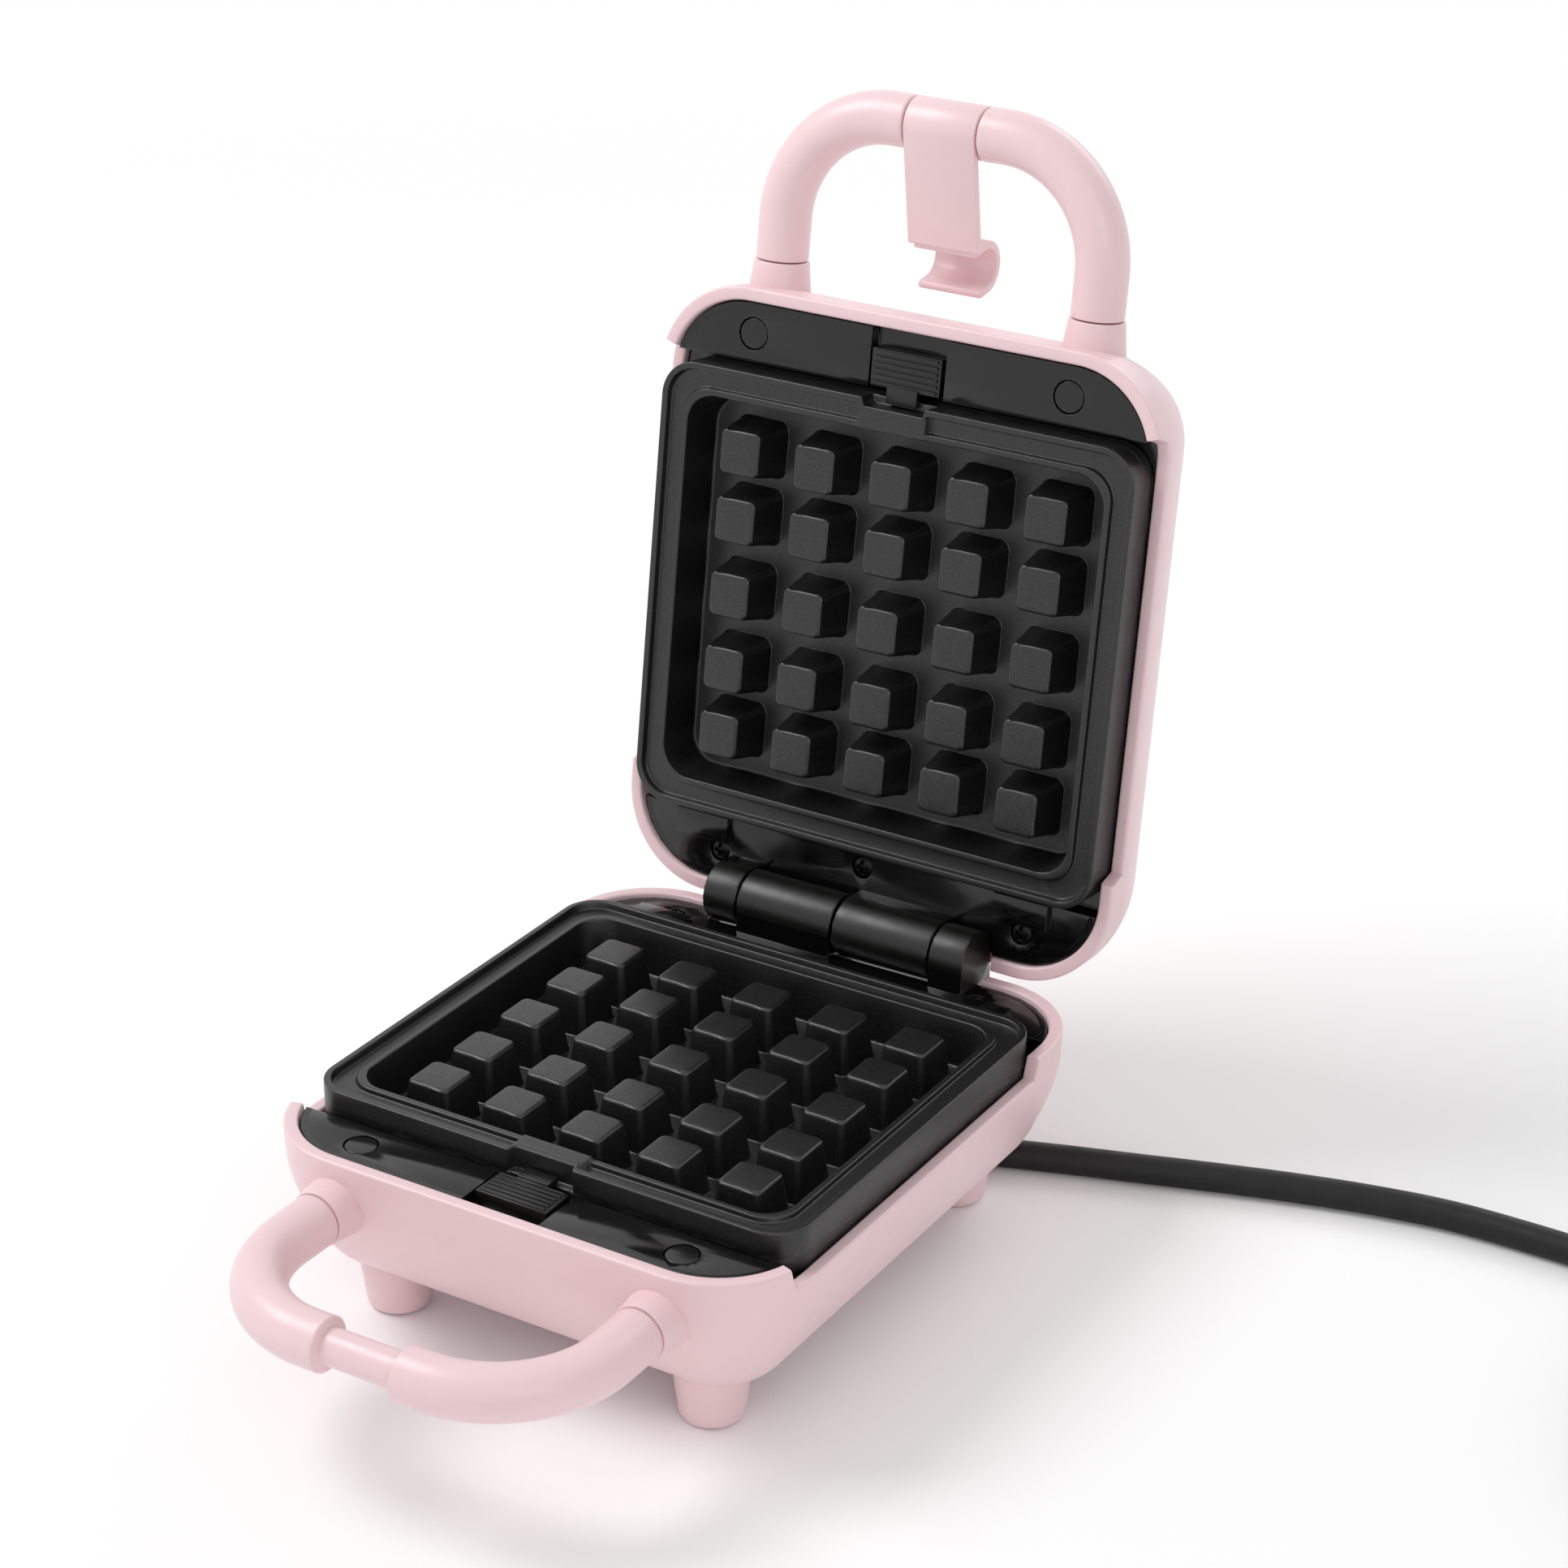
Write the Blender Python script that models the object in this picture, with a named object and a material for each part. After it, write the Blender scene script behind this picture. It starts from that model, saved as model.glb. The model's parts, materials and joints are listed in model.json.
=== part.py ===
"""Multi snack maker: two hinged half casings with cast waffle plates, drawn open.

Each half is modelled in its own frame: X across, Y from the handle to the hinge, Z away from
the casing, with Z = 0 on the parting plane and Y = 0 in the middle of the cooking plate.
The base uses that frame as it is. The lid is the same frame turned over and swung open.
"""
import math

import bmesh
import bpy
from mathutils import Matrix, Vector

# Lid pose and clearances
LID_OPEN_ANGLE = math.radians(98.2)
CLIP_HANG_ANGLE = math.radians(7.0)
GAP = 0.0003
OVERRUN = 0.002
BITE = 0.0006
WELD = 1e-7
SAME_PLACE = 1e-6
FLAT_ANGLE = math.radians(0.2)

# Cooking plate
PLATE_WIDTH = 0.126
PLATE_DEPTH = 0.110
PLATE_CORNER = 0.009
RIM_DROP = 0.00085
RIM_WIDTH = 0.0016
LAND_DROP = 0.0026
LAND_WIDTH = 0.0042
BEAD_WIDTH = 0.0015
BEAD_DROP = 0.0014
CUBE_TOP_DROP = 0.00205
CUBE_HEIGHT = 0.0108
CUBE_TOP = 0.0098
CUBE_BASE = 0.0138
CUBE_EASE = 0.0009
CUBE_COLUMN_PITCH = 0.0205
CUBE_ROW_PITCH = 0.0185
CUBE_OUTER_ROW_PITCH = 0.0166
CUBE_COLUMNS = 5
CAVITY_DRAFT = 0.0013
PLATE_FLOOR = 0.0032
SKIRT_DEPTH = 0.0102
PLATE_BODY_STEP = 0.0045
NOTCH_WIDTH = 0.0165
NOTCH_DEPTH = 0.0020
BRIDGE_WIDTH = 0.0180
LEDGE_DROP = 0.0062
PLATE_TAB_LENGTH = 0.0120
PLATE_TAB_REACH = 0.0022
PLATE_TAB_THICKNESS = 0.0020

# Outer shell
SHELL_SIDE_MARGIN = 0.0040
SHELL_WIDTH = PLATE_WIDTH + 2 * SHELL_SIDE_MARGIN
FRONT_DECK = 0.0195
REAR_DECK = 0.0218
SHELL_FRONT = PLATE_DEPTH / 2 + FRONT_DECK
SHELL_REAR = PLATE_DEPTH / 2 + REAR_DECK
SHELL_CORNER = 0.0235
SHELL_WALL = 0.0024
SHELL_RIM_DROP = 0.0050
SHELL_RIM_TUCK = 0.0010
SHELL_RIM_WALL = 0.0026
SHELL_WIDEST_DROP = 0.0120
SHELL_STRAIGHT_DROP = 0.02625
SHELL_TUCK = 0.0045
SHELL_BOTTOM_RADIUS = 0.0130
SIDE_NOTCH_DROP = 0.01015
SIDE_NOTCH_FRONT_SETBACK = 0.0170
SIDE_NOTCH_REAR_SETBACK = 0.0298
SIDE_NOTCH_FRONT = SHELL_FRONT - SIDE_NOTCH_FRONT_SETBACK
SIDE_NOTCH_REAR = SHELL_REAR - SIDE_NOTCH_REAR_SETBACK
REAR_NOTCH_DROP = 0.0096

# Feet and floor
FOOT_SIDE_INSET = 0.0251
FOOT_FRONT_INSET = 0.0225
FOOT_REAR_INSET = 0.0223
FOOT_X = SHELL_WIDTH / 2 - FOOT_SIDE_INSET
FOOT_FRONT = SHELL_FRONT - FOOT_FRONT_INSET
FOOT_REAR = SHELL_REAR - FOOT_REAR_INSET
FOOT_TOP_RADIUS = 0.0088
FOOT_TIP_RADIUS = 0.0072
FOOT_ROUND = 0.0024
FOOT_HEIGHT = 0.0132

# Handles and latch clip
HANDLE_SIDE_INSET = 0.0251
HANDLE_X = SHELL_WIDTH / 2 - HANDLE_SIDE_INSET
HANDLE_DROP = 0.0166
HANDLE_RADIUS = 0.00625
BOSS_LENGTH = 0.0053
HANDLE_SEAM = SHELL_FRONT + BOSS_LENGTH
BAR_HALF = 0.0098
HANDLE_GRIP_LENGTH = 0.0051
HANDLE_BEND = HANDLE_X - BAR_HALF - HANDLE_GRIP_LENGTH
HANDLE_STRAIGHT = 0.0102
HANDLE_REACH = HANDLE_SEAM + HANDLE_STRAIGHT + HANDLE_BEND
BOSS_TIP_RADIUS = 0.00655
BOSS_ROOT_RADIUS = 0.0078
BOSS_INNER_REACH = 0.0055
BOSS_INNER_END = SHELL_FRONT - BOSS_INNER_REACH
SPIGOT_RADIUS = 0.0040
SPIGOT_LENGTH = 0.0075
BAR_RADIUS = 0.00415
CLIP_HOOK_WALL = 0.0019
CLIP_PLATE_THICKNESS = 0.0022
CLIP_PLATE_END = 0.0275
CLIP_PLATE_HALF = 0.0088
CLIP_HOOK_HALF = 0.0080

# Inner frame
FRAME_TOP_DROP = 0.00605
PLATE_FRONT_CLEARANCE = 0.0015
PLATE_REAR_CLEARANCE = 0.0017
FRAME_FRONT_EDGE = PLATE_DEPTH / 2 + PLATE_FRONT_CLEARANCE
FRAME_REAR_EDGE = PLATE_DEPTH / 2 + PLATE_REAR_CLEARANCE
FRAME_SKIN = 0.0025
FRAME_WALL = 0.0020
FRAME_SEAT_GAP = 0.0003
FRAME_BOTTOM_DROP = 0.0153
CHIMNEY_DROP = 0.0205
CHIMNEY_WALL = 0.0020
TRAY_LEDGE = 0.0018
TRAY_LEDGE_REACH = 0.0030
FRAME_BODY_CLEARANCE = 0.0010
CATCH_SIDE_INSET = 0.0155
CATCH_LENGTH = 0.0145
CATCH_OUTER = SHELL_WIDTH / 2 - CATCH_SIDE_INSET
CATCH_INNER = CATCH_OUTER - CATCH_LENGTH
CATCH_DEPTH = 0.0058
CATCH_TOP_DROP = 0.0034

# Release slider
RECESS_WIDTH = 0.0200
RECESS_DROP = 0.0095
SLIDER_WIDTH = 0.0183
SLIDER_LENGTH = 0.0088
SLIDER_TOP_DROP = 0.0056
SLIDER_SETBACK = 0.0022
SLIDER_REAR_EDGE = PLATE_DEPTH / 2 + SLIDER_SETBACK
SLIDER_TRAVEL = 0.0034
SLIDER_RIBS = 6
SLIDER_RIB_HEIGHT = 0.0005
TONGUE_WIDTH = 0.0080
TONGUE_REACH = 0.0034
TONGUE_THICKNESS = 0.0014
KEEL_WIDTH = 0.0060
KEEL_LENGTH = 0.0024
KEEL_DEPTH = 0.0046
KEEL_SETBACK = 0.0022
SPRING_BOX_WALL = 0.0012
SPRING_BOX_CLEARANCE = 0.0006
SPRING_LENGTH = 0.0056
SPRING_RADIUS = 0.0014
SPRING_WIRE = 0.0003
SPRING_TURNS = 4
SPRING_STEPS = 7

# Screws and plugs
PLUG_SIDE_INSET = 0.0251
PLUG_SETBACK = 0.0083
PLUG_X = SHELL_WIDTH / 2 - PLUG_SIDE_INSET
PLUG_Y = PLATE_DEPTH / 2 + PLUG_SETBACK
PLUG_RADIUS = 0.0037
PLUG_DEPTH = 0.0030
PLUG_SINK = 0.0002
POST_WALL = 0.0016
POST_DROP = 0.0180
POST_FLOOR = 0.0022
SCREW_HEAD_RADIUS = 0.0026
SCREW_HEAD_HEIGHT = 0.0020
SCREW_SHANK_RADIUS = 0.0015
SCREW_SHANK_LENGTH = 0.0120
SCREW_SLOT = 0.0007
SCREW_SLOT_DEPTH = 0.0011
REAR_SCREW_SIDE_SETBACK = 0.0105
REAR_SCREW_MIDDLE_SETBACK = 0.0050
REAR_SCREW_RIGHT_INSET = 0.0270
REAR_SCREW_LEFT_INSET = 0.0230
REAR_SCREW_SIDE_Y = PLATE_DEPTH / 2 + REAR_SCREW_SIDE_SETBACK
REAR_SCREW_MIDDLE_Y = PLATE_DEPTH / 2 + REAR_SCREW_MIDDLE_SETBACK
REAR_SCREW_RIGHT_X = SHELL_WIDTH / 2 - REAR_SCREW_RIGHT_INSET
REAR_SCREW_LEFT_X = SHELL_WIDTH / 2 - REAR_SCREW_LEFT_INSET
REAR_SCREW_SINK = 0.0022
SHELL_POST_RADIUS = 0.0042
SIDE_POST_FOOT_DROP = 0.0335

# Hinge
HINGE_SETBACK = 0.0179
HINGE_Y = PLATE_DEPTH / 2 + HINGE_SETBACK
BARREL_RADIUS = 0.0072
POCKET_CLEARANCE = 0.0007
POCKET_RADIUS = BARREL_RADIUS + POCKET_CLEARANCE
WIDE_INNER = 0.0004
WIDE_OUTER = 0.0264
KNUCKLE_GAP = 0.0006
SHORT_LENGTH = 0.0090
SHORT_INNER = WIDE_OUTER + KNUCKLE_GAP
SHORT_OUTER = SHORT_INNER + SHORT_LENGTH
REAR_NOTCH_MARGIN = 0.0010
REAR_NOTCH_HALF = SHORT_OUTER + REAR_NOTCH_MARGIN
WEB_DROP = 0.0090
PIN_RADIUS = 0.0022
PIN_INNER = 0.0133
SHORT_CAP = 0.0020
WIRE_BORE = 0.0042
WIRE_BORE_REACH = 0.0130
WIRE_SLOT_HALF = 0.0034
WIRE_SLOT_X = 0.0080
WIRE_SLOT_FRONT_SETBACK = 0.0113
WIRE_SLOT_REAR_REACH = 0.0026
HARNESS_RADIUS = 0.0018
HARNESS_CLEARANCE = 0.0009
WIRE_SLOT_FRONT = HINGE_Y - WIRE_SLOT_FRONT_SETBACK
WIRE_SLOT_REAR = HINGE_Y + WIRE_SLOT_REAR_REACH
WIRE_SLOT_NECK = HINGE_Y - 2 * HARNESS_RADIUS - HARNESS_CLEARANCE
WIRE_SLOT_STEP = 0.0086

# Heating
HEATER_RADIUS = 0.0033
HEATER_SIDE_INSET = 0.0190
HEATER_END_INSET = 0.0180
HEATER_X = PLATE_WIDTH / 2 - HEATER_SIDE_INSET
HEATER_Y = PLATE_DEPTH / 2 - HEATER_END_INSET
HEATER_LEG_X = 0.0140
HEATER_BEND = 0.0090
HEATER_LEG_DROP = 0.0335
TRAY_SHEET = 0.0009
TRAY_DROP = 0.0290
TRAY_CORNER = 0.0060
THERMOSTAT_RADIUS = 0.0085
THERMOSTAT_HEIGHT = 0.0058
THERMOSTAT_Y = 0.0100
THERMOSTAT_TAB_LENGTH = 0.0260
THERMOSTAT_TAB_WIDTH = 0.0060
THERMOSTAT_TAB_THICKNESS = 0.0012
FUSE_RADIUS = 0.0021
FUSE_LENGTH = 0.0160
FUSE_SLEEVE = 0.0008
TERMINAL_WIDTH = 0.0240
TERMINAL_DEPTH = 0.0085
TERMINAL_HEIGHT = 0.0090
TERMINAL_X = 0.0260
TERMINAL_REAR_INSET = 0.0223
TERMINAL_Y = SHELL_REAR - TERMINAL_REAR_INSET
TERMINAL_WAYS = 3
TERMINAL_BORE = 0.0018
LEAD_RADIUS = 0.0011

# Lid lights
LIGHT_X = 0.0060
LIGHT_FRONT_INSET = 0.0265
LIGHT_Y = SHELL_FRONT - LIGHT_FRONT_INSET
LENS_RADIUS = 0.0026
LENS_PROUD = 0.0005
LENS_DEPTH = 0.0036
LAMP_RADIUS = 0.0022
LAMP_LENGTH = 0.0040

# Mains lead
CORD_DIAMETER = 0.0070
LEAD_ROUTE = ((0.0572, 0.0764), (0.0757, 0.0827), (0.0941, 0.0890), (0.1125, 0.0948), (0.1312, 0.0996),
              (0.1503, 0.1027), (0.1765, 0.1032), (0.2060, 0.1022))
OUTLET_X = 0.0080
OUTLET_REAR_INSET = 0.0184
OUTLET_Y = SHELL_REAR - OUTLET_REAR_INSET
OUTLET_HEADING = math.radians(19.5)
OUTLET_PITCH = math.radians(5.0)
OUTLET_DROP = 0.0458
OUTLET_LENGTH = 0.0200
OUTLET_WIDTH = 0.0130
OUTLET_FLOOR_GAP = 0.0011
RELIEF_LENGTH = 0.0240
RELIEF_ROOT_RADIUS = 0.0052
RELIEF_TIP_RADIUS = 0.0044
RELIEF_STEM_RADIUS = 0.0038
RELIEF_STEM_LENGTH = 0.0090
RELIEF_RINGS = 4
RELIEF_GROOVE = 0.0007
TAIL_SHARES = ((2.6, -0.1, 0.95), (4.4, -0.5, 0.75), (6.2, -1.2, 0.65), (8.0, -2.2, 0.85), (10.0, -3.8, 1.0))
COIL_DIAMETERS = 11.0
COIL_TURNS = 3
COIL_STEPS = 24
COIL_PITCH = 0.0078
COIL_CENTRE_X = 0.2560
COIL_CENTRE_Y = 0.0560
TIE_WIDTH = 0.0050
TIE_THICKNESS = 0.0006
TIE_CLEARANCE = 0.0005
TIE_ANGLE = math.radians(1.0)
PLUG_BODY_LENGTH = 0.0300
PLUG_BODY_WIDTH = 0.0280
PLUG_BODY_HEIGHT = 0.0240
PLUG_NOSE_LENGTH = 0.0200
PLUG_NOSE_TIP = 0.0042
PLUG_NOSE_ROOT = 0.0062
PLUG_PIN_LENGTH = 0.0170
PLUG_PIN_WIDTH = 0.0063
PLUG_PIN_THICKNESS = 0.0016
PLUG_PIN_SPREAD = 0.0079
PLUG_PIN_TILT = math.radians(30.0)

FLOOR_DROP = SHELL_STRAIGHT_DROP + SHELL_BOTTOM_RADIUS + FOOT_HEIGHT
SHELL_BOTTOM_DROP = SHELL_STRAIGHT_DROP + SHELL_BOTTOM_RADIUS
INNER_BOTTOM_DROP = SHELL_BOTTOM_DROP - SHELL_WALL
CAVITY_FLOOR_DROP = CUBE_TOP_DROP + CUBE_HEIGHT
PLATE_BOTTOM_DROP = CAVITY_FLOOR_DROP + PLATE_FLOOR
SKIRT_DROP = RIM_DROP + SKIRT_DEPTH
FRAME_SEAT_DROP = SKIRT_DROP + FRAME_SEAT_GAP
HEATER_DROP = PLATE_BOTTOM_DROP + GAP + HEATER_RADIUS


def clear_scene():
    for item in list(bpy.data.objects):
        bpy.data.objects.remove(item, do_unlink=True)


def finish_material(name, colour, roughness, metallic=0.0):
    material = bpy.data.materials.new(name)
    material.use_nodes = True
    surface = material.node_tree.nodes["Principled BSDF"]
    surface.inputs["Base Color"].default_value = (*colour, 1.0)
    surface.inputs["Roughness"].default_value = roughness
    surface.inputs["Metallic"].default_value = metallic
    material.diffuse_color = (*colour, 1.0)
    return material


PINK = ((0.78, 0.50, 0.52), 0.38)
BLACK = ((0.012, 0.011, 0.011), 0.45)
COATING = ((0.030, 0.030, 0.032), 0.55)
STEEL = ((0.55, 0.55, 0.56), 0.30, 1.0)
DARK_STEEL = ((0.05, 0.05, 0.05), 0.40, 1.0)
TRAY_STEEL = ((0.62, 0.62, 0.60), 0.35, 1.0)
RUBBER = ((0.010, 0.010, 0.010), 0.55)
BRASS = ((0.75, 0.55, 0.28), 0.30, 1.0)
CERAMIC = ((0.80, 0.78, 0.72), 0.60)
SLEEVE = ((0.70, 0.66, 0.55), 0.80)
RED_LENS = ((0.60, 0.03, 0.02), 0.20)
GREEN_LENS = ((0.05, 0.45, 0.08), 0.20)


def solid(bm):
    """One closed body from a bmesh, faces out, as an unnamed object."""
    bmesh.ops.remove_doubles(bm, verts=bm.verts, dist=WELD)
    bmesh.ops.recalc_face_normals(bm, faces=bm.faces)
    mesh = bpy.data.meshes.new("body")
    bm.to_mesh(mesh)
    bm.free()
    item = bpy.data.objects.new("body", mesh)
    bpy.context.scene.collection.objects.link(item)
    return item


def combine(body, tools, operation):
    """Union or difference of a body with a list of tool bodies, which are used up."""
    for tool in tools:
        step = body.modifiers.new("cut", "BOOLEAN")
        step.operation = operation
        step.solver = "EXACT"
        step.object = tool
        graph = bpy.context.evaluated_depsgraph_get()
        made = bpy.data.meshes.new_from_object(body.evaluated_get(graph))
        body.modifiers.clear()
        body.data = made
        bpy.data.objects.remove(tool, do_unlink=True)
    return body


def fuse(body, *tools):
    return combine(body, tools, "UNION")


def carve(body, *tools):
    return combine(body, tools, "DIFFERENCE")


def name_piece(item, name, finish, parent, origin=None, crease=35.0):
    """Names a body, triangulates it, gives it its material and parent, and sets its origin."""
    item.name = name
    item.data.name = name
    if origin is not None:
        item.data.transform(Matrix.Translation(-Vector(origin)))
        item.location = origin
    bm = bmesh.new()
    bm.from_mesh(item.data)
    bmesh.ops.dissolve_limit(bm, angle_limit=FLAT_ANGLE, verts=bm.verts, edges=bm.edges)
    bmesh.ops.triangulate(bm, faces=bm.faces)
    bm.to_mesh(item.data)
    bm.free()
    item.data.materials.clear()
    item.data.materials.append(finish_material(name, *finish))
    item.data.shade_smooth()
    item.data.set_sharp_from_angle(angle=math.radians(crease))
    item.parent = parent
    return item


def loft(rings):
    """Closed body through rings of equal point counts, capped at both ends."""
    bm = bmesh.new()
    rows = [[bm.verts.new(point) for point in ring] for ring in rings]
    count = len(rings[0])
    for low, high in zip(rows, rows[1:]):
        for i in range(count):
            j = (i + 1) % count
            bm.faces.new((low[i], low[j], high[j], high[i]))
    bm.faces.new(list(reversed(rows[0])))
    bm.faces.new(rows[-1])
    return solid(bm)


def box(x0, x1, y0, y1, z0, z1):
    rings = []
    for z in (z0, z1):
        rings.append([Vector((x0, y0, z)), Vector((x1, y0, z)), Vector((x1, y1, z)), Vector((x0, y1, z))])
    return loft(rings)


def disc_ring(centre, across, up, radius, sides):
    ring = []
    for i in range(sides):
        angle = 2.0 * math.pi * i / sides
        ring.append(centre + across * (radius * math.cos(angle)) + up * (radius * math.sin(angle)))
    return ring


def turned(start, direction, profile, sides):
    """Turned body: profile is a list of (distance along the axis, radius)."""
    start = Vector(start)
    direction = Vector(direction).normalized()
    helper = Vector((0, 0, 1)) if abs(direction.z) < 0.9 else Vector((1, 0, 0))
    across = direction.cross(helper).normalized()
    up = direction.cross(across)
    return loft([disc_ring(start + direction * along, across, up, radius, sides) for along, radius in profile])


def cylinder(start, direction, length, radius, sides=20):
    return turned(start, direction, [(0, radius), (length, radius)], sides)


def sweep(points, radii, sides):
    """Round body along a path, with a radius at each point; its frame is carried without twist."""
    points = [Vector(point) for point in points]
    rings = []
    across = None
    for i, point in enumerate(points):
        before = next((points[j] for j in range(i - 1, -1, -1) if (points[j] - point).length > SAME_PLACE), point)
        after = next((points[j] for j in range(i + 1, len(points)) if (points[j] - point).length > SAME_PLACE), point)
        inward = (point - before).normalized() if before is not point else Vector((0, 0, 0))
        outward = (after - point).normalized() if after is not point else Vector((0, 0, 0))
        along = (inward + outward).normalized()
        if across is None:
            helper = Vector((0, 0, 1)) if abs(along.z) < 0.9 else Vector((1, 0, 0))
            across = along.cross(helper).normalized()
        across = (across - along * across.dot(along)).normalized()
        rings.append(disc_ring(point, across, along.cross(across), radii[i], sides))
    return loft(rings)


def rounded_path(corners, bend, steps):
    """Points of a bent rod: straight runs between corners, with arcs of the bend radius."""
    corners = [Vector(corner) for corner in corners]
    points = [corners[0]]
    for before, corner, after in zip(corners, corners[1:], corners[2:]):
        one = (before - corner).normalized()
        two = (after - corner).normalized()
        half = one.angle(two) / 2.0
        reach = bend / math.tan(half)
        middle = corner + (one + two).normalized() * (bend / math.sin(half))
        start = corner + one * reach
        axis = one.cross(two).normalized()
        arm = start - middle
        sweep_angle = math.pi - 2.0 * half
        for i in range(steps + 1):
            turn = Matrix.Rotation(-sweep_angle * i / steps, 3, axis)
            points.append(middle + turn @ arm)
    points.append(corners[-1])
    return points


def rod(corners, bend, radius, sides, steps=4):
    points = rounded_path(corners, bend, steps)
    return sweep(points, [radius] * len(points), sides)


def outline(half_x, front, rear, corner, z, steps=6):
    """Rounded rectangle at height z, front and rear given as distances from Y = 0."""
    ring = []
    corners = ((1, 1, 0.0), (-1, 1, 0.5), (-1, -1, 1.0), (1, -1, 1.5))
    for side_x, side_y, quarter in corners:
        centre_x = side_x * (half_x - corner)
        centre_y = rear - corner if side_y > 0 else -(front - corner)
        for i in range(steps + 1):
            angle = math.pi * (quarter + 0.5 * i / steps)
            ring.append(Vector((centre_x + corner * math.cos(angle), centre_y + corner * math.sin(angle), z)))
    return ring


def slab(half_x, front, rear, corner, z0, z1, steps=4):
    return loft([outline(half_x, front, rear, corner, z, steps) for z in (z0, z1)])


def prism_x(profile, x0, x1):
    """Body whose (y, z) outline is carried along X."""
    return loft([[Vector((x, y, z)) for y, z in profile] for x in (x0, x1)])


def shell_ring(inset, drop):
    return outline(SHELL_WIDTH / 2 - inset, SHELL_FRONT - inset, SHELL_REAR - inset,
                   SHELL_CORNER - inset, -drop)


def shell_bowl():
    """Hollow casing: outer wall down to the flat bottom, then the inner wall back up."""
    outer = [(SHELL_RIM_TUCK, SHELL_RIM_DROP), (0.0, SHELL_WIDEST_DROP), (SHELL_TUCK, SHELL_STRAIGHT_DROP)]
    inner = [(SHELL_RIM_TUCK + SHELL_RIM_WALL, SHELL_RIM_DROP), (SHELL_WALL, SHELL_WIDEST_DROP),
             (SHELL_TUCK + SHELL_WALL, SHELL_STRAIGHT_DROP)]
    inner_radius = SHELL_BOTTOM_RADIUS - SHELL_WALL
    for i in range(1, 5):
        angle = math.pi / 2 * i / 4
        reach = SHELL_TUCK + SHELL_BOTTOM_RADIUS
        outer.append((reach - SHELL_BOTTOM_RADIUS * math.cos(angle),
                      SHELL_STRAIGHT_DROP + SHELL_BOTTOM_RADIUS * math.sin(angle)))
        inner.append((reach - inner_radius * math.cos(angle), SHELL_STRAIGHT_DROP + inner_radius * math.sin(angle)))
    bm = bmesh.new()
    rows = [[bm.verts.new(point) for point in shell_ring(inset, drop)] for inset, drop in outer]
    rows = list(reversed(rows))
    rows += [[bm.verts.new(point) for point in shell_ring(inset, drop)] for inset, drop in inner]
    count = len(rows[0])
    for low, high in zip(rows, rows[1:]):
        for i in range(count):
            j = (i + 1) % count
            bm.faces.new((low[i], low[j], high[j], high[i]))
    bm.faces.new(rows[0])
    bm.faces.new(rows[-1])
    return solid(bm)


def foot(x, y):
    tip = FOOT_TIP_RADIUS
    profile = [(0, tip - FOOT_ROUND), (FOOT_ROUND * 0.3, tip - FOOT_ROUND * 0.3), (FOOT_ROUND, tip),
               (FOOT_HEIGHT + SHELL_WALL / 2, FOOT_TOP_RADIUS)]
    return turned((x, y, -FLOOR_DROP), (0, 0, 1), profile, 14)


def outlet_frame():
    """Start point and direction of the lead where it leaves the casing."""
    point = Vector((OUTLET_X, OUTLET_Y, -OUTLET_DROP))
    flat = Vector((math.cos(OUTLET_HEADING), math.sin(OUTLET_HEADING), 0))
    direction = flat * math.cos(OUTLET_PITCH) - Vector((0, 0, math.sin(OUTLET_PITCH)))
    return point, flat, direction


def outlet_boss():
    point, flat, direction = outlet_frame()
    side = Vector((-flat.y, flat.x, 0))
    low = -(FLOOR_DROP - OUTLET_FLOOR_GAP)
    high = -(SHELL_BOTTOM_DROP - SHELL_WALL / 2)
    rings = []
    for z in (low, high):
        ring = []
        for along, across in ((0, -0.5), (0, 0.5), (-1, 0.5), (-1, -0.5)):
            spot = point + flat * (along * OUTLET_LENGTH) + side * (across * OUTLET_WIDTH)
            ring.append(Vector((spot.x, spot.y, z)))
        rings.append(ring)
    return loft(rings)


def rear_screw_places():
    return [(REAR_SCREW_RIGHT_X, REAR_SCREW_SIDE_Y), (0.0, REAR_SCREW_MIDDLE_Y),
            (-REAR_SCREW_LEFT_X, REAR_SCREW_SIDE_Y)]


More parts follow.
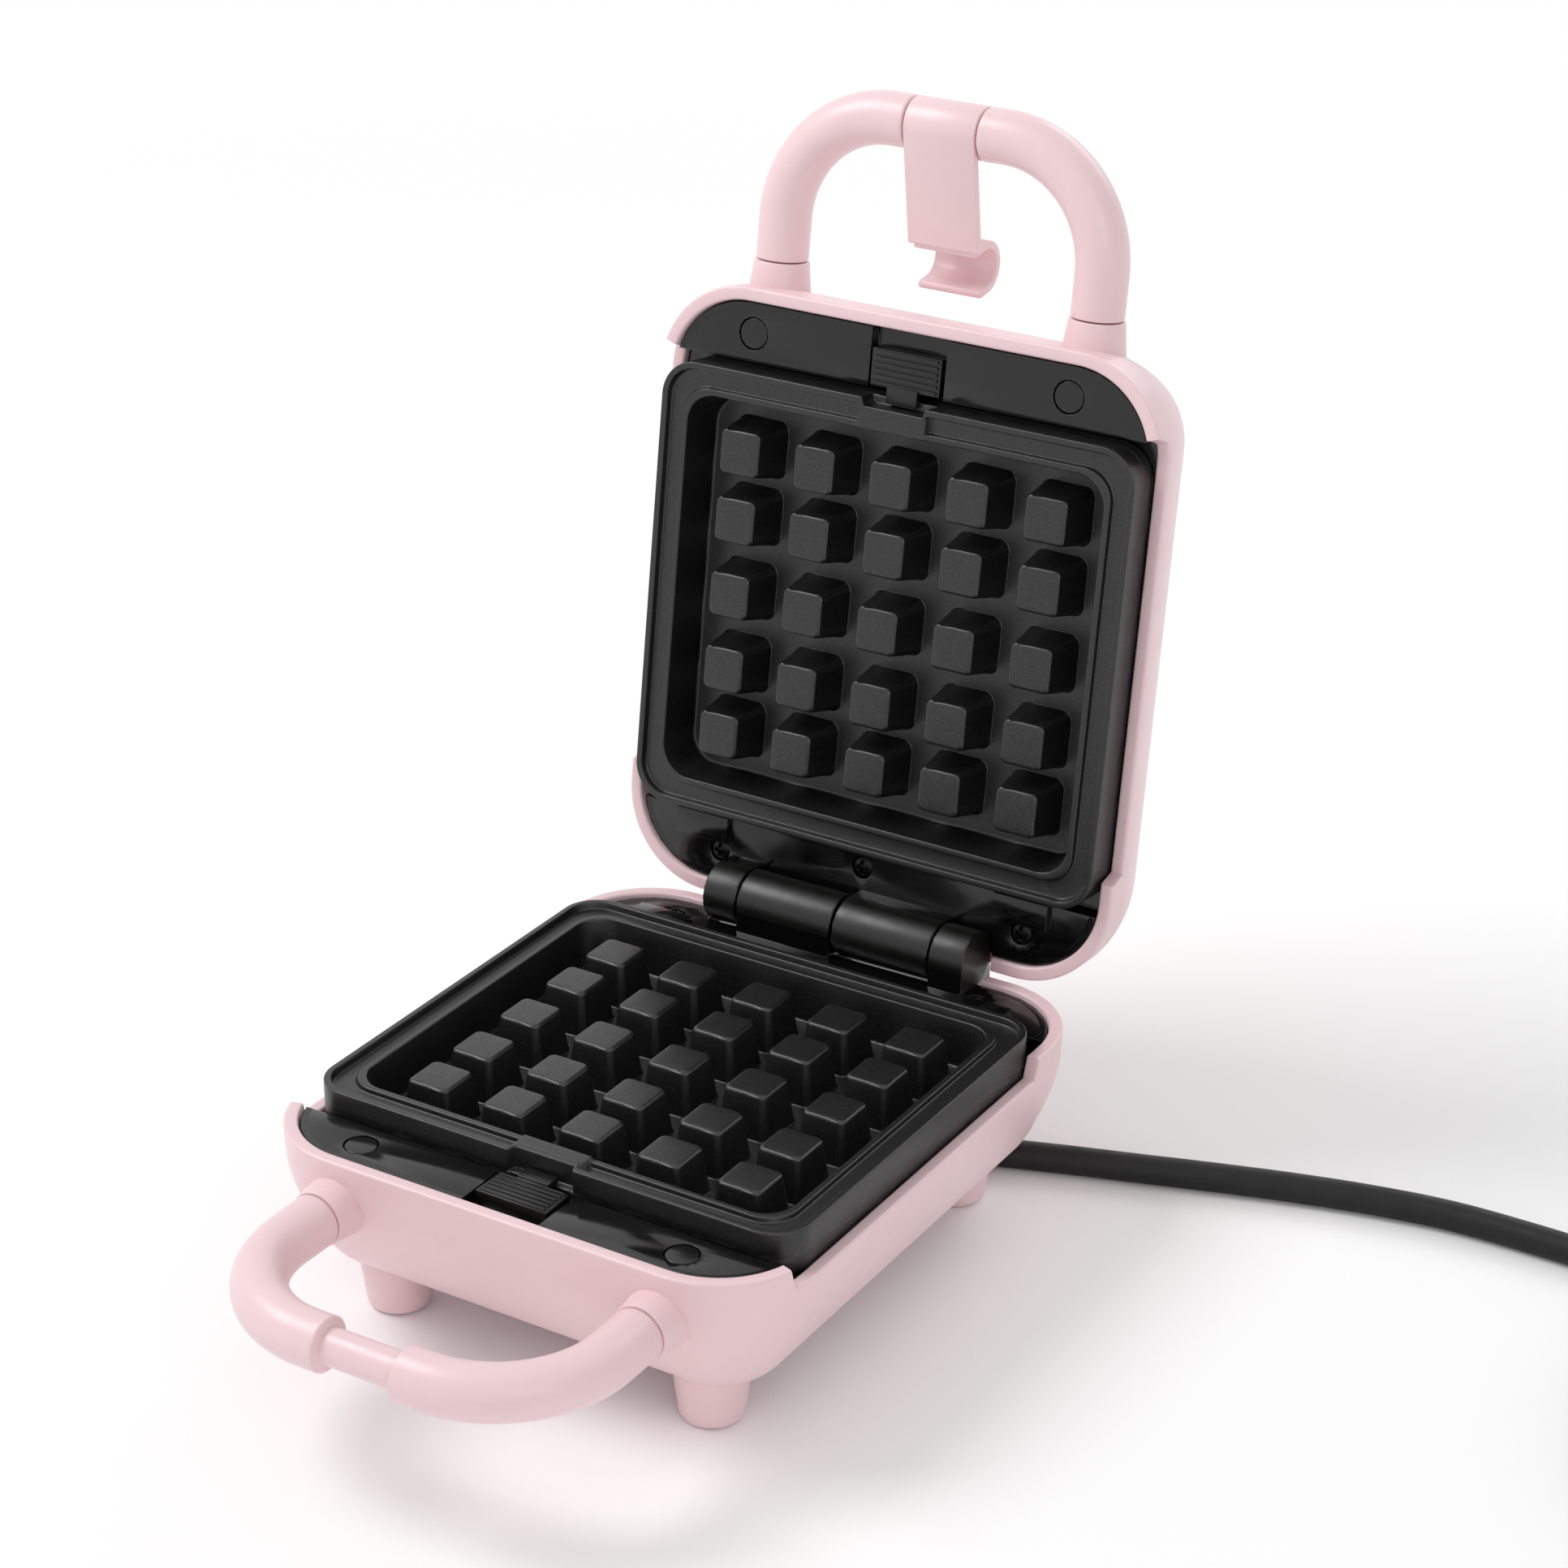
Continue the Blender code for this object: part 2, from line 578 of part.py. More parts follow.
def make_shell(name, parent, is_lid):
    body = shell_bowl()
    for side in (-1, 1):
        x = side * HANDLE_X
        body = fuse(body, turned((x, -BOSS_INNER_END, -HANDLE_DROP), (0, -1, 0),
                                 [(0, BOSS_ROOT_RADIUS), (SHELL_FRONT - BOSS_INNER_END, BOSS_ROOT_RADIUS),
                                  (HANDLE_SEAM - BOSS_INNER_END, BOSS_TIP_RADIUS)], 18))
        body = fuse(body, cylinder((side * PLUG_X, -PLUG_Y, -SIDE_POST_FOOT_DROP), (0, 0, 1),
                                   SIDE_POST_FOOT_DROP - POST_DROP - GAP, SHELL_POST_RADIUS, 10))
    if not is_lid:
        for side in (-1, 1):
            for y in (-FOOT_FRONT, FOOT_REAR):
                body = fuse(body, foot(side * FOOT_X, y))
        body = fuse(body, outlet_boss())
    for x, y in rear_screw_places():
        foot_drop = SIDE_POST_FOOT_DROP if x else INNER_BOTTOM_DROP + SHELL_WALL / 2
        body = fuse(body, cylinder((x, y, -foot_drop), (0, 0, 1), foot_drop - FRAME_BOTTOM_DROP - GAP,
                                   SHELL_POST_RADIUS, 10))
    wide = SHELL_WIDTH / 2 + OVERRUN
    inner = SHELL_WIDTH / 2 - SHELL_CORNER / 3
    for side in (-1, 1):
        x0, x1 = sorted((side * inner, side * wide))
        carve(body, box(x0, x1, -SIDE_NOTCH_FRONT, SIDE_NOTCH_REAR, -SIDE_NOTCH_DROP, OVERRUN))
        socket = cylinder((side * HANDLE_X, -HANDLE_SEAM - OVERRUN, -HANDLE_DROP), (0, 1, 0),
                          SPIGOT_LENGTH + GAP + OVERRUN, SPIGOT_RADIUS + GAP, 16)
        carve(body, socket)
        carve(body, cylinder((side * PLUG_X, -PLUG_Y, -POST_DROP + OVERRUN), (0, 0, -1),
                             OVERRUN + SCREW_SHANK_LENGTH, SCREW_SHANK_RADIUS + GAP, 8))
    carve(body, box(-REAR_NOTCH_HALF, REAR_NOTCH_HALF, HINGE_Y - OVERRUN, SHELL_REAR + OVERRUN,
                    -REAR_NOTCH_DROP, OVERRUN))
    for x, y in rear_screw_places():
        carve(body, cylinder((x, y, -FRAME_BOTTOM_DROP + OVERRUN), (0, 0, -1),
                             OVERRUN + SCREW_SHANK_LENGTH, SCREW_SHANK_RADIUS + GAP, 8))
    if is_lid:
        for side in (-1, 1):
            carve(body, cylinder((side * LIGHT_X, -LIGHT_Y, -(SHELL_BOTTOM_DROP + OVERRUN)), (0, 0, 1),
                                 SHELL_WALL + 2 * OVERRUN, LENS_RADIUS + GAP, 16))
    else:
        point, flat, direction = outlet_frame()
        stem = RELIEF_STEM_LENGTH + GAP
        carve(body, cylinder(point + direction * OVERRUN, -direction, stem + OVERRUN, RELIEF_STEM_RADIUS + GAP, 16))
        inside = point - direction * (stem - RELIEF_STEM_RADIUS)
        carve(body, cylinder((inside.x, inside.y, inside.z), (0, 0, 1), OUTLET_DROP - INNER_BOTTOM_DROP + OVERRUN,
                             RELIEF_STEM_RADIUS - LEAD_RADIUS, 12))
    return name_piece(body, name, PINK, parent)


def make_frame(name, parent):
    """Black inner frame: front panel, plate seat, rear block with its knuckles, tray chimney."""
    inset = SHELL_RIM_TUCK + SHELL_RIM_WALL + GAP
    half_x = SHELL_WIDTH / 2 - inset
    front = SHELL_FRONT - inset
    rear = SHELL_REAR - inset
    body_x = PLATE_WIDTH / 2 - PLATE_BODY_STEP + FRAME_BODY_CLEARANCE
    body_y = PLATE_DEPTH / 2 - PLATE_BODY_STEP + FRAME_BODY_CLEARANCE
    body = slab(half_x, front, rear, SHELL_CORNER - inset, -FRAME_BOTTOM_DROP, -FRAME_TOP_DROP, 6)
    far = SHELL_WIDTH
    carve(body, box(-far, far, -FRAME_FRONT_EDGE, FRAME_REAR_EDGE, -FRAME_SEAT_DROP, OVERRUN))
    carve(body, box(-far, far, -SHELL_FRONT - OVERRUN, -(FRAME_FRONT_EDGE + FRAME_WALL),
                    -FRAME_BOTTOM_DROP - OVERRUN, -FRAME_TOP_DROP - FRAME_SKIN))
    chimney = slab(body_x + CHIMNEY_WALL, body_y + CHIMNEY_WALL, body_y + CHIMNEY_WALL, PLATE_CORNER,
                   -CHIMNEY_DROP, -FRAME_BOTTOM_DROP + BITE)
    fuse(body, chimney)
    carve(body, slab(body_x, body_y, body_y, PLATE_CORNER - CHIMNEY_WALL, -(CHIMNEY_DROP - TRAY_LEDGE), OVERRUN))
    carve(body, slab(body_x - TRAY_LEDGE_REACH, body_y - TRAY_LEDGE_REACH, body_y - TRAY_LEDGE_REACH,
                     TRAY_CORNER, -CHIMNEY_DROP - OVERRUN, -(CHIMNEY_DROP - TRAY_LEDGE) + OVERRUN))
    for side in (-1, 1):
        fuse(body, cylinder((side * PLUG_X, -PLUG_Y, -POST_DROP), (0, 0, 1),
                            POST_DROP - FRAME_TOP_DROP - FRAME_SKIN / 2, PLUG_RADIUS + GAP + POST_WALL, 14))
        carve(body, cylinder((side * PLUG_X, -PLUG_Y, -(POST_DROP - POST_FLOOR)), (0, 0, 1),
                             POST_DROP, PLUG_RADIUS + GAP, 16))
        carve(body, cylinder((side * PLUG_X, -PLUG_Y, -POST_DROP - OVERRUN), (0, 0, 1),
                             POST_FLOOR + 2 * OVERRUN, SCREW_SHANK_RADIUS + GAP, 8))
    add_slider_bay(body)
    add_hinge(body)
    for side in (-1, 1):
        x0, x1 = sorted((side * CATCH_INNER, side * CATCH_OUTER))
        fuse(body, box(x0, x1, FRAME_REAR_EDGE - BITE, FRAME_REAR_EDGE + CATCH_DEPTH,
                       -FRAME_TOP_DROP - BITE, -CATCH_TOP_DROP))
        middle = (x0 + x1) / 2
        slot = PLATE_TAB_LENGTH / 2 + 2 * GAP
        carve(body, box(middle - slot, middle + slot, FRAME_REAR_EDGE - OVERRUN,
                        PLATE_DEPTH / 2 + PLATE_TAB_REACH + 2 * GAP,
                        -SKIRT_DROP - GAP, -SKIRT_DROP + PLATE_TAB_THICKNESS + GAP))
    for x, y in rear_screw_places():
        carve(body, cylinder((x, y, -FRAME_TOP_DROP - REAR_SCREW_SINK), (0, 0, 1),
                             REAR_SCREW_SINK + OVERRUN, SCREW_HEAD_RADIUS + GAP, 12))
        carve(body, cylinder((x, y, -FRAME_BOTTOM_DROP - OVERRUN), (0, 0, 1),
                             FRAME_BOTTOM_DROP, SCREW_SHANK_RADIUS + GAP, 8))
    return name_piece(body, name, BLACK, parent)


def add_slider_bay(body):
    """Recess for the release slider, with the spring box under its floor."""
    half = RECESS_WIDTH / 2
    floor = RECESS_DROP + SPRING_BOX_WALL
    fuse(body, box(-half - FRAME_WALL, half + FRAME_WALL, -(SHELL_FRONT - SHELL_RIM_TUCK - SHELL_RIM_WALL - 2 * GAP),
                   -FRAME_FRONT_EDGE - BITE, -floor, -FRAME_TOP_DROP - FRAME_SKIN / 2))
    keel_y = -(SLIDER_REAR_EDGE + KEEL_SETBACK)
    inner = KEEL_WIDTH / 2 + SPRING_BOX_CLEARANCE
    spring_front = keel_y - KEEL_LENGTH - SPRING_LENGTH - 2 * GAP
    depth = RECESS_DROP + KEEL_DEPTH + SPRING_BOX_CLEARANCE
    fuse(body, box(-inner - SPRING_BOX_WALL, inner + SPRING_BOX_WALL, spring_front - SPRING_BOX_WALL,
                   keel_y + SPRING_BOX_WALL + 2 * GAP, -depth - SPRING_BOX_WALL, -floor + BITE))
    carve(body, box(-half, half, -SHELL_FRONT, -FRAME_FRONT_EDGE + OVERRUN, -RECESS_DROP, OVERRUN))
    carve(body, box(-inner, inner, spring_front, keel_y + 2 * GAP, -depth, -floor))
    carve(body, box(-inner, inner, keel_y - KEEL_LENGTH - SLIDER_TRAVEL - 2 * GAP, keel_y + 2 * GAP,
                    -floor - BITE, -RECESS_DROP + OVERRUN))


def add_hinge(body):
    """Pockets for the other half's knuckles, then this half's knuckles and bores."""
    for x0, x1 in ((-WIDE_INNER - BITE, SHORT_INNER + BITE), (-SHORT_OUTER - 3 * GAP, -WIDE_OUTER + BITE)):
        carve(body, cylinder((x0, HINGE_Y, 0), (1, 0, 0), x1 - x0, POCKET_RADIUS, 22))
    for x0, x1 in ((-WIDE_OUTER, -WIDE_INNER), (SHORT_INNER, SHORT_OUTER)):
        profile = []
        for i in range(11):
            angle = math.pi * i / 10
            profile.append((HINGE_Y + BARREL_RADIUS * math.cos(angle), BARREL_RADIUS * math.sin(angle)))
        profile += [(HINGE_Y - BARREL_RADIUS, -WEB_DROP), (HINGE_Y + BARREL_RADIUS, -WEB_DROP)]
        fuse(body, prism_x(profile, x0, x1))
    bore = PIN_RADIUS + GAP
    carve(body, cylinder((-WIDE_OUTER - GAP, HINGE_Y, 0), (1, 0, 0), WIDE_OUTER - WIRE_BORE_REACH + 2 * GAP, bore, 14))
    carve(body, cylinder((-WIRE_BORE_REACH, HINGE_Y, 0), (1, 0, 0), WIRE_BORE_REACH, WIRE_BORE, 14))
    carve(body, cylinder((SHORT_INNER - GAP, HINGE_Y, 0), (1, 0, 0),
                         SHORT_OUTER - SHORT_INNER - SHORT_CAP + GAP, bore, 14))
    x0 = -WIRE_SLOT_X - WIRE_SLOT_HALF
    x1 = -WIRE_SLOT_X + WIRE_SLOT_HALF
    carve(body, box(x0, x1, WIRE_SLOT_NECK, WIRE_SLOT_REAR, -FRAME_BOTTOM_DROP - OVERRUN, 0.0))
    carve(body, box(x0, x1, WIRE_SLOT_FRONT, WIRE_SLOT_REAR, -FRAME_BOTTOM_DROP - OVERRUN, -WIRE_SLOT_STEP))


def waffle_cube(x, y):
    """Truncated pyramid with an eased top edge, footed in the plate's floor."""
    levels = [(CUBE_BASE / 2, -CAVITY_FLOOR_DROP - BITE), (CUBE_TOP / 2 + CUBE_EASE, -CUBE_TOP_DROP - CUBE_EASE),
              (CUBE_TOP / 2, -CUBE_TOP_DROP)]
    rings = []
    for half, z in levels:
        rings.append([Vector((x + across * half, y + along * half, z))
                      for across, along in ((1, 1), (-1, 1), (-1, -1), (1, -1))])
    return loft(rings)


def cube_places():
    rows = [-(CUBE_ROW_PITCH + CUBE_OUTER_ROW_PITCH), -CUBE_ROW_PITCH, 0.0, CUBE_ROW_PITCH,
            CUBE_ROW_PITCH + CUBE_OUTER_ROW_PITCH]
    middle = (CUBE_COLUMNS - 1) / 2
    return [((column - middle) * CUBE_COLUMN_PITCH, y) for y in rows for column in range(CUBE_COLUMNS)]


def make_plate(name, parent):
    """Cast plate: skirted rim, lowered land, bead, drafted cavity and waffle cubes."""
    half_x = PLATE_WIDTH / 2
    half_y = PLATE_DEPTH / 2
    step = PLATE_BODY_STEP
    body = slab(half_x, half_y, half_y, PLATE_CORNER, -SKIRT_DROP, -RIM_DROP)
    fuse(body, slab(half_x - step, half_y - step, half_y - step, PLATE_CORNER - CHIMNEY_WALL - GAP,
                    -PLATE_BOTTOM_DROP, -SKIRT_DROP + BITE))
    land = slab(half_x - RIM_WIDTH, half_y - RIM_WIDTH, half_y - RIM_WIDTH, PLATE_CORNER - RIM_WIDTH,
                -LAND_DROP, OVERRUN)
    carve(body, land)
    inset = RIM_WIDTH + LAND_WIDTH
    fuse(body, slab(half_x - inset, half_y - inset, half_y - inset, PLATE_CORNER - RIM_WIDTH,
                    -LAND_DROP - BITE, -BEAD_DROP))
    fuse(body, box(-BRIDGE_WIDTH / 2, BRIDGE_WIDTH / 2, -half_y + RIM_WIDTH / 2, -half_y + inset + BEAD_WIDTH / 2,
                   -LAND_DROP - BITE, -RIM_DROP))
    inset += BEAD_WIDTH
    rings = []
    for draft, z in ((0.0, OVERRUN), (0.0, -BEAD_DROP), (CAVITY_DRAFT, -CAVITY_FLOOR_DROP)):
        rings.append(outline(half_x - inset - draft, half_y - inset - draft, half_y - inset - draft,
                             PLATE_CORNER - RIM_WIDTH - draft, z, 4))
    carve(body, loft(rings))
    for x, y in cube_places():
        fuse(body, waffle_cube(x, y))
    carve(body, box(-NOTCH_WIDTH / 2, NOTCH_WIDTH / 2, -half_y - OVERRUN, -half_y + NOTCH_DEPTH,
                    -LEDGE_DROP, OVERRUN))
    for side in (-1, 1):
        middle = side * (CATCH_INNER + CATCH_OUTER) / 2
        fuse(body, box(middle - PLATE_TAB_LENGTH / 2, middle + PLATE_TAB_LENGTH / 2, half_y - BITE,
                       half_y + PLATE_TAB_REACH, -SKIRT_DROP, -SKIRT_DROP + PLATE_TAB_THICKNESS))
    return name_piece(body, name, COATING, parent)


def make_slider(name, parent):
    """Ribbed release slider with a tongue over the plate's ledge and a keel on the spring."""
    half = SLIDER_WIDTH / 2
    rear = -SLIDER_REAR_EDGE
    front = rear - SLIDER_LENGTH
    body = box(-half, half, front, rear, -RECESS_DROP + GAP, -SLIDER_TOP_DROP)
    pitch = SLIDER_LENGTH / SLIDER_RIBS
    for i in range(SLIDER_RIBS):
        y = front + pitch * (i + 0.5)
        fuse(body, box(-half + pitch / 2, half - pitch / 2, y - pitch / 4, y + pitch / 4,
                       -SLIDER_TOP_DROP - BITE, -SLIDER_TOP_DROP + SLIDER_RIB_HEIGHT))
    fuse(body, box(-TONGUE_WIDTH / 2, TONGUE_WIDTH / 2, rear - BITE, rear + TONGUE_REACH,
                   -LEDGE_DROP + GAP, -LEDGE_DROP + GAP + TONGUE_THICKNESS))
    keel = rear - KEEL_SETBACK
    fuse(body, box(-KEEL_WIDTH / 2, KEEL_WIDTH / 2, keel - KEEL_LENGTH, keel,
                   -RECESS_DROP - KEEL_DEPTH, -RECESS_DROP + GAP + BITE))
    return name_piece(body, name, BLACK, parent, origin=(0, rear, -RECESS_DROP))


def make_spring(name, parent):
    """Compression spring between the spring box and the slider's keel."""
    rear = -(SLIDER_REAR_EDGE + KEEL_SETBACK + KEEL_LENGTH + GAP + SPRING_WIRE)
    z = -(RECESS_DROP + KEEL_DEPTH - SPRING_RADIUS)
    length = SPRING_LENGTH - 2 * SPRING_WIRE
    points = []
    count = SPRING_TURNS * SPRING_STEPS
    for i in range(count + 1):
        angle = 2 * math.pi * i / SPRING_STEPS
        points.append((SPRING_RADIUS * math.cos(angle), rear - length * i / count,
                       z + SPRING_RADIUS * math.sin(angle)))
    body = sweep(points, [SPRING_WIRE] * len(points), 3)
    return name_piece(body, name, STEEL, parent)


def screw(x, y, head_base):
    """Cross-head screw standing head up on the height given."""
    body = turned((x, y, head_base - SCREW_SHANK_LENGTH), (0, 0, 1),
                  [(0, SCREW_SHANK_RADIUS),
                   (SCREW_SHANK_LENGTH, SCREW_SHANK_RADIUS), (SCREW_SHANK_LENGTH, SCREW_HEAD_RADIUS),
                   (SCREW_SHANK_LENGTH + SCREW_HEAD_HEIGHT * 0.6, SCREW_HEAD_RADIUS),
                   (SCREW_SHANK_LENGTH + SCREW_HEAD_HEIGHT, SCREW_HEAD_RADIUS * 0.7)], 8)
    top = head_base + SCREW_HEAD_HEIGHT
    long = SCREW_HEAD_RADIUS * 0.6
    thin = SCREW_SLOT / 2
    carve(body, box(x - long, x + long, y - thin, y + thin, top - SCREW_SLOT_DEPTH, top + OVERRUN))
    carve(body, box(x - thin, x + thin, y - long, y + long, top - SCREW_SLOT_DEPTH, top + OVERRUN))
    return body


def make_screws(prefix, parent):
    for (x, y), word in zip(rear_screw_places(), ("right", "middle", "left")):
        body = screw(x, y, -FRAME_TOP_DROP - REAR_SCREW_SINK + GAP)
        name_piece(body, prefix + "_rear_screw_" + word, DARK_STEEL, parent)
    base = -(POST_DROP - POST_FLOOR) + GAP
    top = -FRAME_TOP_DROP - PLUG_SINK
    for side, word in ((-1, "left"), (1, "right")):
        x = side * PLUG_X
        name_piece(screw(x, -PLUG_Y, base), prefix + "_front_screw_" + word, STEEL, parent)
        cover = cylinder((x, -PLUG_Y, top - PLUG_DEPTH), (0, 0, 1), PLUG_DEPTH, PLUG_RADIUS, 16)
        name_piece(cover, prefix + "_screw_cover_" + word, BLACK, parent)


def make_handle(name, parent):
    """Bent tube handle with spigots in the shell's bosses and a thinner bar in its middle."""
    z = -HANDLE_DROP
    start = -(HANDLE_SEAM + GAP)
    arc = rounded_path([(-HANDLE_X, start, z), (-HANDLE_X, -HANDLE_REACH, z), (0, -HANDLE_REACH, z)],
                       HANDLE_BEND, 6)[:-1]
    points = [Vector((-HANDLE_X, -HANDLE_SEAM + SPIGOT_LENGTH, z)), arc[0]]
    radii = [SPIGOT_RADIUS, SPIGOT_RADIUS]
    points += arc
    radii += [HANDLE_RADIUS] * len(arc)
    shoulder = Vector((-BAR_HALF, -HANDLE_REACH, z))
    points += [shoulder, shoulder]
    radii += [HANDLE_RADIUS, BAR_RADIUS]
    points += [Vector((-point.x, point.y, point.z)) for point in reversed(points)]
    radii += list(reversed(radii))
    body = sweep(points, radii, 14)
    return name_piece(body, name, PINK, parent)


def make_clip(name, parent):
    """Latch clip drawn hanging from the lid's bar at the origin: plate in front, hook below."""
    inner = BAR_RADIUS + GAP
    outer = HANDLE_RADIUS
    drop = 2 * HANDLE_DROP
    band = turned((-BAR_HALF + GAP, 0, 0), (1, 0, 0), [(0, outer), (2 * (BAR_HALF - GAP), outer)], 28)
    plate = CLIP_PLATE_THICKNESS
    front = -outer
    fuse(band, prism_x([(front, 0), (front, -CLIP_PLATE_END), (front + plate, -CLIP_PLATE_END), (front + plate, 0)],
                       -CLIP_PLATE_HALF, CLIP_PLATE_HALF))
    hook_outer = inner + CLIP_HOOK_WALL
    profile = [(front + plate / 2, -drop + hook_outer)]
    for i in range(13):
        angle = math.pi / 2 - math.pi * i / 12
        profile.append((hook_outer * math.cos(angle), -drop + hook_outer * math.sin(angle)))
    profile.append((front + plate, -drop - hook_outer))
    profile.append((front + plate, -drop - inner))
    for i in range(13):
        angle = -math.pi / 2 + math.pi * i / 12
        profile.append((inner * math.cos(angle), -drop + inner * math.sin(angle)))
    profile.append((front + plate / 2, -drop + inner))
    fuse(band, prism_x(profile, -CLIP_HOOK_HALF, CLIP_HOOK_HALF))
    carve(band, cylinder((-BAR_HALF - OVERRUN, 0, 0), (1, 0, 0), 2 * (BAR_HALF + OVERRUN), inner, 24))
    return name_piece(band, name, PINK, parent)


def make_heater(name, parent):
    """Tubular element: a loop pressed up under the plate with two legs down through the tray."""
    x, y, z = HEATER_X, HEATER_Y, -HEATER_DROP
    leg = HEATER_LEG_X
    corners = [(-leg, y, -HEATER_LEG_DROP), (-leg, y, z), (-x, y, z), (-x, -y, z), (x, -y, z), (x, y, z),
               (leg, y, z), (leg, y, -HEATER_LEG_DROP)]
    body = rod(corners, HEATER_BEND, HEATER_RADIUS, 8, 3)
    return name_piece(body, name, STEEL, parent)


def make_tray(name, parent):
    """Pressed reflector tray hung by its lip on the frame's ledge."""
    lip_x = PLATE_WIDTH / 2 - PLATE_BODY_STEP + FRAME_BODY_CLEARANCE - GAP
    lip_y = PLATE_DEPTH / 2 - PLATE_BODY_STEP + FRAME_BODY_CLEARANCE - GAP
    top = -(CHIMNEY_DROP - TRAY_LEDGE - GAP)
    pan_x = lip_x - TRAY_LEDGE_REACH
    pan_y = lip_y - TRAY_LEDGE_REACH
    body = slab(pan_x, pan_y, pan_y, TRAY_CORNER - GAP, -TRAY_DROP, top + BITE)
    fuse(body, slab(lip_x, lip_y, lip_y, PLATE_CORNER - CHIMNEY_WALL, top, top + TRAY_SHEET))
    carve(body, slab(pan_x - TRAY_SHEET, pan_y - TRAY_SHEET, pan_y - TRAY_SHEET, TRAY_CORNER - TRAY_SHEET,
                     -TRAY_DROP + TRAY_SHEET, 0.0))
    for side in (-1, 1):
        carve(body, cylinder((side * HEATER_LEG_X, HEATER_Y, -TRAY_DROP - OVERRUN), (0, 0, 1), 2 * OVERRUN + TRAY_SHEET,
                             HEATER_RADIUS + 2 * GAP, 12))
    return name_piece(body, name, TRAY_STEEL, parent)


def make_half(prefix, parent, is_lid):
    make_shell(prefix + "_shell", parent, is_lid)
    make_frame(prefix + "_frame", parent)
    make_plate(prefix + "_cooking_plate", parent)
    make_slider(prefix + "_release_slider", parent)
    make_spring(prefix + "_slider_spring", parent)
    make_screws(prefix, parent)
    make_handle(prefix + "_handle", parent)
    make_heater(prefix + "_heating_element", parent)
    make_tray(prefix + "_reflector_tray", parent)
    make_harness(prefix + "_hinge_harness", parent)


def make_harness(name, parent):
    """Sleeved wires from the casing up through the wide knuckle to the hinge's middle."""
    x = -WIRE_SLOT_X
    middle = HINGE_Y - BARREL_RADIUS
    corners = [(-GAP / 2, HINGE_Y, 0), (x, HINGE_Y, 0), (x, HINGE_Y - HARNESS_RADIUS, -WIRE_SLOT_STEP),
               (x, middle, -FRAME_BOTTOM_DROP), (x, middle - BARREL_RADIUS, -CHIMNEY_DROP)]
    body = rod(corners, HARNESS_RADIUS * 1.6, HARNESS_RADIUS, 8, 2)
    return name_piece(body, name, SLEEVE, parent)


def make_hinge_pins(parent):
    far = SHORT_OUTER - SHORT_CAP - GAP
    for side, word in ((-1, "left"), (1, "right")):
        start = (side * PIN_INNER, HINGE_Y, 0)
        pin = cylinder(start, (side, 0, 0), far - PIN_INNER, PIN_RADIUS, 20)
        name_piece(pin, "hinge_pin_" + word, STEEL, parent, origin=start)


def make_base_electrics(parent):
    """Thermostat under the tray, terminal block on the floor of the casing, and the leads."""
    top = -(TRAY_DROP + GAP)
    tab = THERMOSTAT_TAB_LENGTH / 2
    body = box(-tab, tab, -THERMOSTAT_Y - THERMOSTAT_TAB_WIDTH / 2, -THERMOSTAT_Y + THERMOSTAT_TAB_WIDTH / 2,
               top - THERMOSTAT_TAB_THICKNESS, top)
    fuse(body, cylinder((0, -THERMOSTAT_Y, top - THERMOSTAT_HEIGHT), (0, 0, 1),
                        THERMOSTAT_HEIGHT - THERMOSTAT_TAB_THICKNESS / 2, THERMOSTAT_RADIUS, 20))
    name_piece(body, "thermostat", CERAMIC, parent)
    low = -(INNER_BOTTOM_DROP - GAP)
    x0 = TERMINAL_X - TERMINAL_WIDTH / 2
    block = box(x0, x0 + TERMINAL_WIDTH, TERMINAL_Y - TERMINAL_DEPTH / 2, TERMINAL_Y + TERMINAL_DEPTH / 2,
                low, low + TERMINAL_HEIGHT)
    pitch = TERMINAL_WIDTH / TERMINAL_WAYS
    for i in range(TERMINAL_WAYS):
        carve(block, cylinder((x0 + pitch * (i + 0.5), TERMINAL_Y - TERMINAL_DEPTH, low + TERMINAL_HEIGHT / 2),
                              (0, 1, 0), 2 * TERMINAL_DEPTH, TERMINAL_BORE, 10))
    name_piece(block, "terminal_block", CERAMIC, parent)
    wire_z = low + TERMINAL_HEIGHT / 2
    rear = TERMINAL_Y - TERMINAL_DEPTH / 2 + TERMINAL_BORE
    first = x0 + pitch / 2
    middle = first + pitch
    turn = THERMOSTAT_RADIUS + 2 * LEAD_RADIUS
    live = [(middle, rear, wire_z), (middle, rear - pitch, wire_z), (turn, -THERMOSTAT_Y, wire_z),
            (THERMOSTAT_RADIUS + GAP, -THERMOSTAT_Y, wire_z)]
    name_piece(rod(live, LEAD_RADIUS, LEAD_RADIUS, 8, 3), "live_lead", RUBBER, parent)
    under = -(HEATER_LEG_DROP + GAP + LEAD_RADIUS)
    neutral = [(first, rear, wire_z), (first, rear - 3 * LEAD_RADIUS, wire_z),
               (first, HEATER_Y + 2 * HEATER_RADIUS, under), (HEATER_LEG_X, HEATER_Y, under)]
    name_piece(rod(neutral, LEAD_RADIUS, LEAD_RADIUS, 8, 3), "neutral_lead", CERAMIC, parent)


